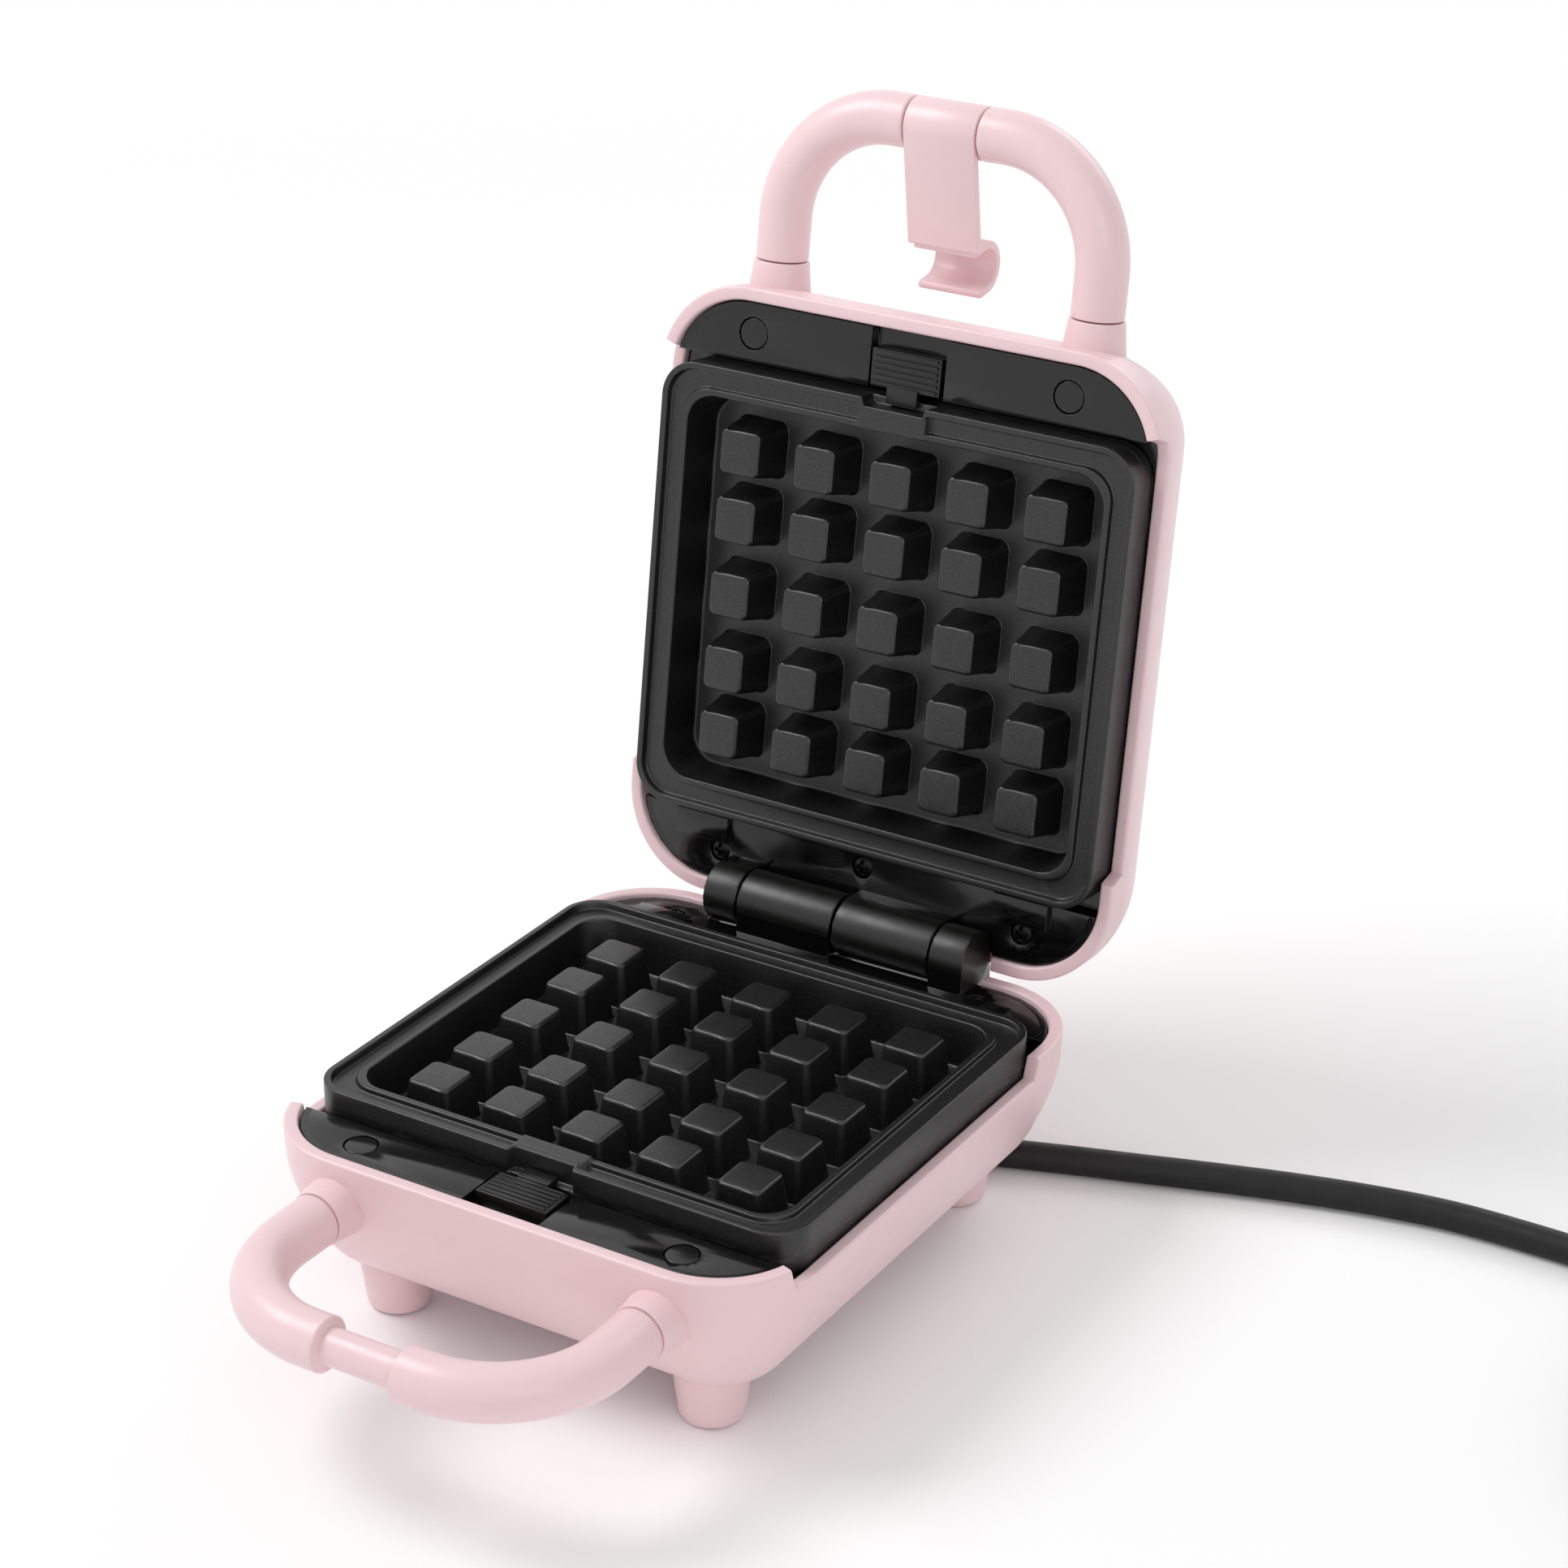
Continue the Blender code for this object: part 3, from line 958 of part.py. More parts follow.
def make_lid_electrics(parent):
    top = -(TRAY_DROP + GAP)
    outer = FUSE_RADIUS + FUSE_SLEEVE
    z = top - outer
    sleeve = cylinder((-FUSE_LENGTH / 2, THERMOSTAT_Y, z), (1, 0, 0), FUSE_LENGTH, outer, 16)
    carve(sleeve, cylinder((-FUSE_LENGTH / 2 - OVERRUN, THERMOSTAT_Y, z), (1, 0, 0), FUSE_LENGTH + 2 * OVERRUN,
                           FUSE_RADIUS + GAP, 12))
    name_piece(sleeve, "thermal_fuse_sleeve", SLEEVE, parent)
    length = FUSE_LENGTH * 0.7
    fuse_body = turned((-FUSE_LENGTH / 2 - 2 * FUSE_RADIUS, THERMOSTAT_Y, z), (1, 0, 0),
                       [(0, LEAD_RADIUS / 2), (2 * FUSE_RADIUS + FUSE_LENGTH / 2 - length / 2, LEAD_RADIUS / 2),
                        (2 * FUSE_RADIUS + FUSE_LENGTH / 2 - length / 2, FUSE_RADIUS),
                        (2 * FUSE_RADIUS + FUSE_LENGTH / 2 + length / 2, FUSE_RADIUS),
                        (2 * FUSE_RADIUS + FUSE_LENGTH / 2 + length / 2, LEAD_RADIUS / 2),
                        (4 * FUSE_RADIUS + FUSE_LENGTH, LEAD_RADIUS / 2)], 12)
    name_piece(fuse_body, "thermal_fuse", STEEL, parent)
    for side, word, finish in ((-1, "power_light_lens", RED_LENS), (1, "ready_light_lens", GREEN_LENS)):
        bottom = -(SHELL_BOTTOM_DROP + LENS_PROUD)
        flange = LENS_RADIUS + 2 * GAP + LENS_PROUD
        inside = -(INNER_BOTTOM_DROP - GAP) - bottom
        lens = turned((side * LIGHT_X, -LIGHT_Y, bottom), (0, 0, 1),
                      [(0, LENS_RADIUS * 0.7), (LENS_PROUD, LENS_RADIUS), (inside, LENS_RADIUS), (inside, flange),
                       (LENS_DEPTH, flange)], 16)
        name_piece(lens, word, finish, parent)
    start = -(SHELL_BOTTOM_DROP + LENS_PROUD) + LENS_DEPTH + GAP
    for side, word in ((-1, "power_lamp"), (1, "ready_lamp")):
        lamp = cylinder((side * LIGHT_X, -LIGHT_Y, start), (0, 0, 1), LAMP_LENGTH, LAMP_RADIUS, 12)
        name_piece(lamp, word, CERAMIC, parent)


def smooth_route(points, spacing):
    """Points at an even spacing on a Catmull-Rom curve through the points given."""
    ends = [points[0] * 2 - points[1]] + points + [points[-1] * 2 - points[-2]]
    dense = []
    for a, b, c, d in zip(ends, ends[1:], ends[2:], ends[3:]):
        for i in range(24):
            t = i / 24
            dense.append(((b * 2) + (c - a) * t + (a * 2 - b * 5 + c * 4 - d) * t * t
                          + (b * 3 - a - c * 3 + d) * t * t * t) / 2)
    dense.append(points[-1])
    total = sum((q - p).length for p, q in zip(dense, dense[1:]))
    count = max(2, round(total / spacing))
    step = total / count
    route = [dense[0]]
    walked = 0.0
    for p, q in zip(dense, dense[1:]):
        length = (q - p).length
        while walked + length >= step * len(route) - WELD and len(route) < count:
            share = (step * len(route) - walked) / length
            route.append(p.lerp(q, share))
        walked += length
    route.append(dense[-1])
    return route, total


def tube(name, points, radius, resolution, finish, parent):
    """Round tube along a poly spline with filled caps."""
    curve = bpy.data.curves.new(name, "CURVE")
    curve.dimensions = "3D"
    curve.bevel_depth = radius
    curve.bevel_resolution = resolution
    curve.use_fill_caps = True
    spline = curve.splines.new("POLY")
    spline.points.add(len(points) - 1)
    for slot, point in zip(spline.points, points):
        slot.co = (*point, 1.0)
        slot.radius = 1.0
    item = bpy.data.objects.new(name, curve)
    bpy.context.scene.collection.objects.link(item)
    curve.materials.append(finish_material(name, *finish))
    item.parent = parent
    return item


def coil_points():
    """Two layers: spiral in on the floor, climb in the half turn of the reversal, spiral out."""
    radius = COIL_DIAMETERS * CORD_DIAMETER / 2
    lift = GAP + TIE_THICKNESS + TIE_CLEARANCE
    middle = Vector((COIL_CENTRE_X, COIL_CENTRE_Y, -FLOOR_DROP + lift + CORD_DIAMETER / 2))
    points = []
    half = COIL_TURNS / 2
    for i in range(COIL_TURNS * COIL_STEPS + 1):
        turns = i / COIL_STEPS
        inward = half / 2 - abs(turns - half)
        spiral = radius + COIL_PITCH * -inward
        climb = min(1.0, max(0.0, turns - half + 0.25) / 0.5)
        height = COIL_PITCH * (3 * climb * climb - 2 * climb ** 3)
        angle = math.pi / 2 - 2 * math.pi * turns
        points.append(middle + Vector((spiral * math.cos(angle), spiral * math.sin(angle), height)))
    return points


def least_gap(points, radius):
    """Smallest clear distance between parts of a wound tube that are not neighbours along it."""
    least = None
    skip = COIL_STEPS // 2
    for i, point in enumerate(points):
        for other in points[i + skip:]:
            clear = (point - other).length - 2 * radius
            least = clear if least is None else min(least, clear)
    return least


def make_cord(parent):
    radius = CORD_DIAMETER / 2
    point, flat, direction = outlet_frame()
    floor = -FLOOR_DROP + radius
    collar = GAP + RELIEF_ROOT_RADIUS * math.sin(OUTLET_PITCH)
    profile = [(-RELIEF_STEM_LENGTH, RELIEF_STEM_RADIUS), (collar, RELIEF_STEM_RADIUS), (collar, RELIEF_ROOT_RADIUS)]
    for i in range(RELIEF_RINGS):
        share = (i + 1) / (RELIEF_RINGS + 1)
        along = collar + (RELIEF_LENGTH - collar) * share
        wide = RELIEF_ROOT_RADIUS + (RELIEF_TIP_RADIUS - RELIEF_ROOT_RADIUS) * share
        for shift, cut in ((-1.0, 0.0), (-0.6, 1.0), (0.6, 1.0), (1.0, 0.0)):
            profile.append((along + shift * RELIEF_GROOVE, wide - cut * RELIEF_GROOVE))
    profile.append((RELIEF_LENGTH, RELIEF_TIP_RADIUS))
    relief = turned(point, direction, profile, 10)
    name_piece(relief, "cord_strain_relief", RUBBER, parent)

    start = point + direction * (RELIEF_LENGTH + GAP)
    coil = coil_points()
    into = (coil[1] - coil[0]).normalized()
    coil_start = coil[0] - into * CORD_DIAMETER
    out = (coil[-1] - coil[-2]).normalized()
    out.z = 0.0
    coil_end = coil[-1] + out * CORD_DIAMETER
    route = [start, start + direction * CORD_DIAMETER * 1.2]
    for x, y in LEAD_ROUTE:
        route.append(Vector((x, y, floor)))
    route += [coil_start - into * (CORD_DIAMETER * 2 + GAP), coil_start - into * (CORD_DIAMETER + GAP),
              coil_start - into * GAP]
    lead, lead_length = smooth_route(route, CORD_DIAMETER * 2.2)
    for spot in lead:
        spot.z = max(spot.z, floor)
    tube("cord_lead", lead, radius, 2, RUBBER, parent)
    coil_line = [coil_start] + coil + [coil_end]
    tube("cord_coil", coil_line, radius, 1, RUBBER, parent)
    print("cord coil least gap to itself, mm:", round(least_gap(coil, radius) * 1000, 3))

    side = Vector((-out.y, out.x, 0))
    tail = [coil_end + out * GAP, coil_end + out * (GAP + CORD_DIAMETER)]
    for along, across, height in TAIL_SHARES:
        spot = coil_end + out * (CORD_DIAMETER * along) + side * (CORD_DIAMETER * across)
        spot.z = floor + (PLUG_BODY_HEIGHT / 2 - radius) * height
        tail.append(spot)
    last = (tail[-1] - tail[-2]).normalized()
    tail.append(tail[-1] + last * CORD_DIAMETER)
    tail_line, tail_length = smooth_route(tail, CORD_DIAMETER * 1.6)
    tube("cord_tail", tail_line, radius, 2, RUBBER, parent)
    coil_length = sum((q - p).length for p, q in zip(coil_line, coil_line[1:]))
    print("cord length, m:", round(lead_length + coil_length + tail_length, 4))
    make_tie(coil, parent)
    make_plug(tail_line[-1], last, parent)


def make_tie(coil, parent):
    """Flat band round the bundle, square to the turns, at the side away from the casing."""
    radius = CORD_DIAMETER / 2
    middle = Vector((COIL_CENTRE_X, COIL_CENTRE_Y, 0))
    spots = [point for point in coil if abs((point - middle).to_2d().angle_signed(Vector((1, 0)))) < TIE_ANGLE]
    reach = [(point - middle).to_2d().length for point in spots]
    low = min(reach) - radius - TIE_CLEARANCE
    high = max(reach) + radius + TIE_CLEARANCE
    bottom = -FLOOR_DROP + GAP
    top = max(point.z for point in spots) + radius + TIE_CLEARANCE
    loops = []
    for grow in (TIE_THICKNESS, 0.0):
        floor = bottom if grow else bottom + TIE_THICKNESS
        loops.append((low - grow, high + grow, floor, top + grow))
    bodies = []
    for (x0, x1, z0, z1), extra in zip(loops, (0.0, OVERRUN)):
        y = TIE_WIDTH / 2 + extra
        bodies.append(box(COIL_CENTRE_X + x0, COIL_CENTRE_X + x1, COIL_CENTRE_Y - y, COIL_CENTRE_Y + y, z0, z1))
    carve(bodies[0], bodies[1])
    name_piece(bodies[0], "cord_tie", RUBBER, parent)


def make_plug(end, heading, parent):
    """Moulded three-pin plug on its side, with a tapered nose towards the lead."""
    heading = Vector((heading.x, heading.y, 0)).normalized()
    side = Vector((-heading.y, heading.x, 0))
    up = Vector((0, 0, 1))
    start = end + heading * GAP
    body = turned(start, heading, [(0, PLUG_NOSE_TIP), (PLUG_NOSE_LENGTH + OVERRUN, PLUG_NOSE_ROOT)], 16)
    lift = -FLOOR_DROP + PLUG_BODY_HEIGHT / 2
    centre = Vector((start.x, start.y, lift))
    rings = []
    for along, grow in ((0, 0.86), (0.12, 1.0), (0.9, 1.0), (1.0, 0.94)):
        ring = []
        spot = centre + heading * (PLUG_NOSE_LENGTH + PLUG_BODY_LENGTH * along)
        for across, height in ((-0.5, -0.25), (-0.25, -0.5), (0.25, -0.5), (0.5, -0.25), (0.5, 0.25), (0.25, 0.5),
                               (-0.25, 0.5), (-0.5, 0.25)):
            ring.append(spot + side * (across * PLUG_BODY_WIDTH * grow) + up * (height * PLUG_BODY_HEIGHT * grow))
        rings.append(ring)
    fuse(body, loft(rings))
    face = centre + heading * (PLUG_NOSE_LENGTH + PLUG_BODY_LENGTH)
    pins = []
    for turn, tilt in ((0.5, -1), (-0.5, 1), (0.0, 0)):
        if tilt:
            spot = face + side * (PLUG_PIN_SPREAD * 2 * turn) + up * (PLUG_PIN_SPREAD * 0.35)
        else:
            spot = face - up * (PLUG_PIN_SPREAD * 0.9)
        angle = math.pi / 2 + tilt * PLUG_PIN_TILT
        wide = side * math.cos(angle) + up * math.sin(angle)
        thick = heading.cross(wide)
        pins.append((spot, wide, thick))
    solids = []
    for grow, along0, along1 in ((GAP, -PLUG_PIN_LENGTH / 3, OVERRUN), (0.0, -PLUG_PIN_LENGTH / 3 + GAP, PLUG_PIN_LENGTH)):
        for spot, wide, thick in pins:
            rings = []
            for along in (along0, along1):
                ring = []
                for a, b in ((-1, -1), (1, -1), (1, 1), (-1, 1)):
                    ring.append(spot + heading * along + wide * (a * (PLUG_PIN_WIDTH / 2 + grow))
                                + thick * (b * (PLUG_PIN_THICKNESS / 2 + grow)))
                rings.append(ring)
            blade = loft(rings)
            if grow:
                carve(body, blade)
            else:
                solids.append(blade)
    name_piece(body, "plug_body", RUBBER, parent)
    for blade, word in zip(solids, ("live", "neutral", "earth")):
        name_piece(blade, "plug_pin_" + word, BRASS, parent)


CORD_NODES = ("cord_strain_relief", "cord_lead", "cord_coil", "cord_tail", "cord_tie", "plug_body",
              "plug_pin_live", "plug_pin_neutral", "plug_pin_earth")


def empty(name, parent, location=(0, 0, 0)):
    item = bpy.data.objects.new(name, None)
    bpy.context.scene.collection.objects.link(item)
    item.parent = parent
    item.location = location
    return item


def centre_on_floor(root):
    """Moves the whole part so that its box, without the lead, stands centred on the floor."""
    bpy.context.view_layer.update()
    graph = bpy.context.evaluated_depsgraph_get()
    corners = []
    for item in bpy.context.scene.objects:
        if item.type == "MESH" and item.name not in CORD_NODES:
            seen = item.evaluated_get(graph)
            corners += [seen.matrix_world @ vertex.co for vertex in seen.data.vertices]
    low = Vector([min(corner[i] for corner in corners) for i in range(3)])
    high = Vector([max(corner[i] for corner in corners) for i in range(3)])
    root.location = root.location - Vector(((low.x + high.x) / 2, (low.y + high.y) / 2, low.z))
    bpy.context.view_layer.update()
    print("box without lead, mm:", [round(v * 1000, 2) for v in high - low])


def main():
    clear_scene()
    root = empty("part_origin", None)
    lid_pivot = empty("lid_pivot", root, (0, HINGE_Y, 0))
    lid_pivot.rotation_euler = (-LID_OPEN_ANGLE, 0, 0)
    lid_half = empty("lid_half", lid_pivot, (0, -HINGE_Y, 0))
    lid_half.rotation_euler = (0, math.pi, 0)
    make_half("base", root, False)
    make_half("lid", lid_half, True)
    make_hinge_pins(root)
    make_base_electrics(root)
    make_lid_electrics(lid_half)
    clip_pivot = empty("clip_pivot", lid_half, (0, -HANDLE_REACH, -HANDLE_DROP))
    bpy.context.view_layer.update()
    hang = Matrix.Rotation(CLIP_HANG_ANGLE, 4, "X")
    place = Matrix.Translation(clip_pivot.matrix_world.translation)
    clip_pivot.matrix_world = place @ hang
    make_clip("latch_clip", clip_pivot)
    make_cord(root)
    centre_on_floor(root)
    for item in (root, lid_pivot, clip_pivot):
        print(item.name, "at, m:", [round(v, 5) for v in item.matrix_world.translation])


main()
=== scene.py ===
import json
import math

import bmesh
import bpy
import numpy as np
from mathutils import Matrix, Vector


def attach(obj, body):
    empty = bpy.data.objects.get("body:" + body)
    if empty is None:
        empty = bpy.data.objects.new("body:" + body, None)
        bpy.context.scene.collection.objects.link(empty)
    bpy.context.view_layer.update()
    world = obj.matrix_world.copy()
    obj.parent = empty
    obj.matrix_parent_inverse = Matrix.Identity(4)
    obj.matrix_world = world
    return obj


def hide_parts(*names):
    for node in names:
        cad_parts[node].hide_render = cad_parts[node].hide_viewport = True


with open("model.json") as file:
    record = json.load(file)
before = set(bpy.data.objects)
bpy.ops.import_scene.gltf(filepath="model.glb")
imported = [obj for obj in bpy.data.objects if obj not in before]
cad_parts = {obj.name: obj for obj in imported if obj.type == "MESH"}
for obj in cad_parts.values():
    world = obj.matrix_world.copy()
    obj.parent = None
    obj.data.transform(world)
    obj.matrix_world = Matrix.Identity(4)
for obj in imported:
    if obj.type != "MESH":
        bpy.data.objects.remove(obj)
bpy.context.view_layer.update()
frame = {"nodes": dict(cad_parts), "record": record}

mm = 0.001



def jointPlace(name):
    return Vector(next(j for j in frame["record"]["behaviour"]["joints"] if j["name"] == name)["pos_m"])


# Where the base half's own frame lies in the model, and the fold of the lid about the hinge.
hingeY = 72.9 * mm
hinge = jointPlace("lid_hinge")
openAngle = math.radians(98.2)
baseShift = Vector((0, hinge.y - hingeY, hinge.z))
halfPlace = {
    "base": Matrix.Translation(baseShift),
    "lid": (Matrix.Translation(hinge) @ Matrix.Rotation(-openAngle, 4, "X")
            @ Matrix.Translation((0, -hingeY, 0)) @ Matrix.Rotation(math.pi, 4, "Y")),
}


def linear(text):
    values = [int(text[i:i + 2], 16) / 255 for i in (0, 2, 4)]
    return tuple(v / 12.92 if v <= 0.04045 else ((v + 0.055) / 1.055) ** 2.4 for v in values) + (1.0,)


def report(text):
    print("scene:", text, flush=True)


# Camera
camera = {"place": (0.41365, -0.63263, 0.47411), "azimuth": 31.546, "elevation": 25.265, "roll": 0.251,
          "lens": 87.53, "sensor": 36.0}


def makeCamera():
    azimuth, elevation, roll = (math.radians(camera[k]) for k in ("azimuth", "elevation", "roll"))
    back = Vector((math.sin(azimuth) * math.cos(elevation), -math.cos(azimuth) * math.cos(elevation),
                   math.sin(elevation)))
    right = Vector((0, 0, 1)).cross(back).normalized()
    up = back.cross(right)
    across = right * math.cos(roll) + up * math.sin(roll)
    upward = up * math.cos(roll) - right * math.sin(roll)
    data = bpy.data.cameras.new("camera")
    data.sensor_width = camera["sensor"]
    data.lens = camera["lens"]
    data.clip_start = 0.02
    item = bpy.data.objects.new("camera", data)
    bpy.context.scene.collection.objects.link(item)
    item.matrix_world = Matrix((
        (across.x, upward.x, back.x, camera["place"][0]),
        (across.y, upward.y, back.y, camera["place"][1]),
        (across.z, upward.z, back.z, camera["place"][2]),
        (0, 0, 0, 1)))
    bpy.context.scene.camera = item


makeCamera()
report("camera")


# Shared shape tools. Half frames are X across, Y towards the hinge, Z away from the casing.
def toWorld(points, half):
    place = np.array(halfPlace[half])
    return np.asarray(points, float) @ place[:3, :3].T + place[:3, 3]


def gridFaces(rows, columns, wrap=True):
    # Quads between neighbouring rings: rows rings of columns points each.
    span = columns if wrap else columns - 1
    row, column = np.meshgrid(np.arange(rows - 1), np.arange(span), indexing="ij")
    ahead = (column + 1) % columns
    return np.stack([row * columns + column, row * columns + ahead,
                     (row + 1) * columns + ahead, (row + 1) * columns + column], -1).reshape(-1, 4)


def faceOut(item):
    # Turns the faces of every closed or nearly closed body outwards.
    bm = bmesh.new()
    bm.from_mesh(item.data)
    bmesh.ops.recalc_face_normals(bm, faces=bm.faces)
    bm.to_mesh(item.data)
    bm.free()


def addPiece(name, points, faces, body, material, smooth=40, outward=True):
    mesh = bpy.data.meshes.new(name)
    lists = [list(map(int, face)) for face in faces]
    mesh.from_pydata(np.asarray(points, float).tolist(), [], lists)
    mesh.update()
    item = bpy.data.objects.new(name, mesh)
    bpy.context.scene.collection.objects.link(item)
    mesh.materials.append(material)
    mesh.shade_smooth()
    mesh.set_sharp_from_angle(angle=math.radians(smooth))
    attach(item, body)
    if outward:
        faceOut(item)
    return item


def stack(parts):
    # Joins several (points, faces) pairs into one pair.
    points, faces, count = [], [], 0
    for some, quads in parts:
        points.append(np.asarray(some, float))
        faces += [[int(i) + count for i in quad] for quad in quads]
        count += len(some)
    return np.concatenate(points), faces


def closedLoft(rings, first=True, last=True):
    # Rings of equal point counts, with a face over each end that is asked for.
    rings = np.asarray(rings, float)
    rows, columns = rings.shape[:2]
    faces = gridFaces(rows, columns).tolist()
    if first:
        faces.append(list(range(columns))[::-1])
    if last:
        faces.append(list(range((rows - 1) * columns, rows * columns)))
    return rings.reshape(-1, 3), faces


def rounded(corners, steps=4):
    # Polyline of (u, v, radius) corners with each corner turned into an arc of that radius.
    flat = np.array([corner[:2] for corner in corners], float)
    out = [flat[0]]
    for before, here, after, radius in zip(flat, flat[1:], flat[2:], [c[2] for c in corners[1:-1]]):
        one, two = before - here, after - here
        lengths = np.linalg.norm(one), np.linalg.norm(two)
        one, two = one / max(lengths[0], 1e-9), two / max(lengths[1], 1e-9)
        half = math.acos(float(np.clip(one @ two, -1, 1))) / 2
        reach = min(radius / max(math.tan(half), 1e-6), 0.49 * min(lengths))
        for t in np.linspace(0, 1, steps + 1):
            # A quadratic curve from leg to leg, close to the arc.
            out.append(here + one * reach * (1 - t) ** 2 + two * reach * t ** 2)
    out.append(flat[-1])
    return np.array(out)


def ringXY(halfX, front, rear, corner, arc=16, side=24, keep=12 * mm):
    # Rounded rectangle. Points near the middle of front and rear keep the same x in every ring.
    def run(limit):
        outer = np.linspace(-limit, -keep, side // 2, endpoint=False)
        inner = np.linspace(-keep, keep, 2 * side, endpoint=False)
        return np.concatenate([outer, inner, -outer[::-1]])

    along = run(halfX - corner)
    quarter = np.linspace(0, math.pi / 2, arc, endpoint=False)
    pieces = []
    up = np.linspace(-(front - corner), rear - corner, side * 3, endpoint=False)
    pieces.append(np.stack([np.full_like(up, halfX), up], -1))
    pieces.append(np.stack([halfX - corner + corner * np.cos(quarter),
                            rear - corner + corner * np.sin(quarter)], -1))
    pieces.append(np.stack([-along, np.full_like(along, rear)], -1))
    pieces.append(np.stack([-(halfX - corner) - corner * np.sin(quarter),
                            rear - corner + corner * np.cos(quarter)], -1))
    down = -np.linspace(-(rear - corner), front - corner, side * 3, endpoint=False)
    pieces.append(np.stack([np.full_like(down, -halfX), down], -1))
    pieces.append(np.stack([-(halfX - corner) - corner * np.cos(quarter),
                            -(front - corner) - corner * np.sin(quarter)], -1))
    pieces.append(np.stack([along, np.full_like(along, -front)], -1))
    pieces.append(np.stack([halfX - corner + corner * np.sin(quarter),
                            -(front - corner) - corner * np.cos(quarter)], -1))
    return np.concatenate(pieces)


def smoothstep(value, low, high):
    t = np.clip((value - low) / (high - low), 0, 1)
    return t * t * (3 - 2 * t)


def turned(start, direction, profile, sides=48):
    # Surface of revolution: profile is (distance along the axis, radius).
    start, direction = np.asarray(start, float), np.asarray(direction, float)
    direction = direction / np.linalg.norm(direction)
    helper = np.array([0, 0, 1.0]) if abs(direction[2]) < 0.9 else np.array([1.0, 0, 0])
    across = np.cross(direction, helper)
    across /= np.linalg.norm(across)
    up = np.cross(direction, across)
    profile = np.asarray(profile, float)
    angle = np.linspace(0, 2 * math.pi, sides, endpoint=False)
    circle = np.cos(angle)[:, None] * across + np.sin(angle)[:, None] * up
    rings = start + profile[:, None, :1] * direction + profile[:, None, 1:] * circle[None]
    return rings.reshape(-1, 3), gridFaces(len(profile), sides).tolist()


# Materials
def addNode(tree, kind, inputs=(), **settings):
    node = tree.nodes.new(kind)
    for key, value in settings.items():
        setattr(node, key, value)
    for key, value in dict(inputs).items():
        if isinstance(value, bpy.types.NodeSocket):
            tree.links.new(value, node.inputs[key])
        else:
            node.inputs[key].default_value = value
    return node


def newMaterial(name, colour, roughness, metallic=0.0, **sockets):
    material = bpy.data.materials.new(name)
    material.use_nodes = True
    surface = material.node_tree.nodes["Principled BSDF"]
    surface.inputs["Base Color"].default_value = linear(colour)
    surface.inputs["Roughness"].default_value = roughness
    surface.inputs["Metallic"].default_value = metallic
    for key, value in sockets.items():
        surface.inputs[key.replace("_", " ")].default_value = value
    return material, material.node_tree, surface


def objectPlace(tree, stretch=(1, 1, 1)):
    place = addNode(tree, "ShaderNodeTexCoord").outputs["Object"]
    return addNode(tree, "ShaderNodeMapping", {"Vector": place, "Scale": stretch}).outputs["Vector"]


def noise(tree, size, detail=2.0, stretch=(1, 1, 1), **more):
    # size is the real size of the grains, in metres.
    return addNode(tree, "ShaderNodeTexNoise", {"Vector": objectPlace(tree, stretch), "Scale": 1 / size,
                                                "Detail": detail, **more}).outputs["Fac"]


def colourBetween(tree, surface, factor, low, high, first, second):
    span = addNode(tree, "ShaderNodeMapRange", {"Value": factor, "From Min": low, "From Max": high})
    mix = addNode(tree, "ShaderNodeMix", {"Factor": span.outputs["Result"]}, data_type="RGBA")
    for socket in mix.inputs:
        if socket.type == "RGBA":
            socket.default_value = linear(first) if socket.name == "A" else linear(second)
    colour = next(o for o in mix.outputs if o.type == "RGBA")
    tree.links.new(colour, surface.inputs["Base Color"])


def valueBetween(tree, factor, low, high, first, second):
    return addNode(tree, "ShaderNodeMapRange", {"Value": factor, "From Min": low, "From Max": high,
                                                "To Min": first, "To Max": second}).outputs["Result"]


def shineBetween(tree, surface, factor, first, second, low=0.3, high=0.7):
    tree.links.new(valueBetween(tree, factor, low, high, first, second), surface.inputs["Roughness"])


def addBump(tree, surface, height, distance, strength=1.0):
    bump = addNode(tree, "ShaderNodeBump", {"Height": height, "Distance": distance, "Strength": strength})
    tree.links.new(bump.outputs["Normal"], surface.inputs["Normal"])


def pinkPlastic():
    # Moulded plastic: soft satin shine, faint cloudiness in the colour, a very fine moulded grain.
    material, tree, surface = newMaterial("pinkPlastic", "EBCED1", 0.34, Coat_Weight=0.15, Coat_Roughness=0.22)
    cloud = noise(tree, 30 * mm, 3.0)
    colourBetween(tree, surface, cloud, 0.3, 0.7, "E9CACE", "ECCFD2")
    shineBetween(tree, surface, noise(tree, 6 * mm, 4.0), 0.32, 0.42)
    surface.inputs["Subsurface Weight"].default_value = 0.06
    surface.inputs["Subsurface Radius"].default_value = (0.004, 0.002, 0.0015)
    addBump(tree, surface, noise(tree, 0.35 * mm, 2.0), 0.004 * mm)
    return material


def blackPlastic():
    # Glossy moulded panels: deep black, sharp enough to mirror the sky, with faint moulding waves.
    material, tree, surface = newMaterial("blackPlastic", "0B0A0A", 0.15)
    shineBetween(tree, surface, noise(tree, 9 * mm, 4.0), 0.10, 0.20)
    addBump(tree, surface, noise(tree, 7 * mm, 1.0), 0.03 * mm)
    return material


def satinBlack():
    # Hinge barrels and sliders: black with a fine matt tooling grain.
    material, tree, surface = newMaterial("satinBlack", "0B0A09", 0.36)
    shineBetween(tree, surface, noise(tree, 5 * mm, 4.0), 0.31, 0.42)
    addBump(tree, surface, noise(tree, 0.3 * mm, 3.0), 0.012 * mm)
    return material


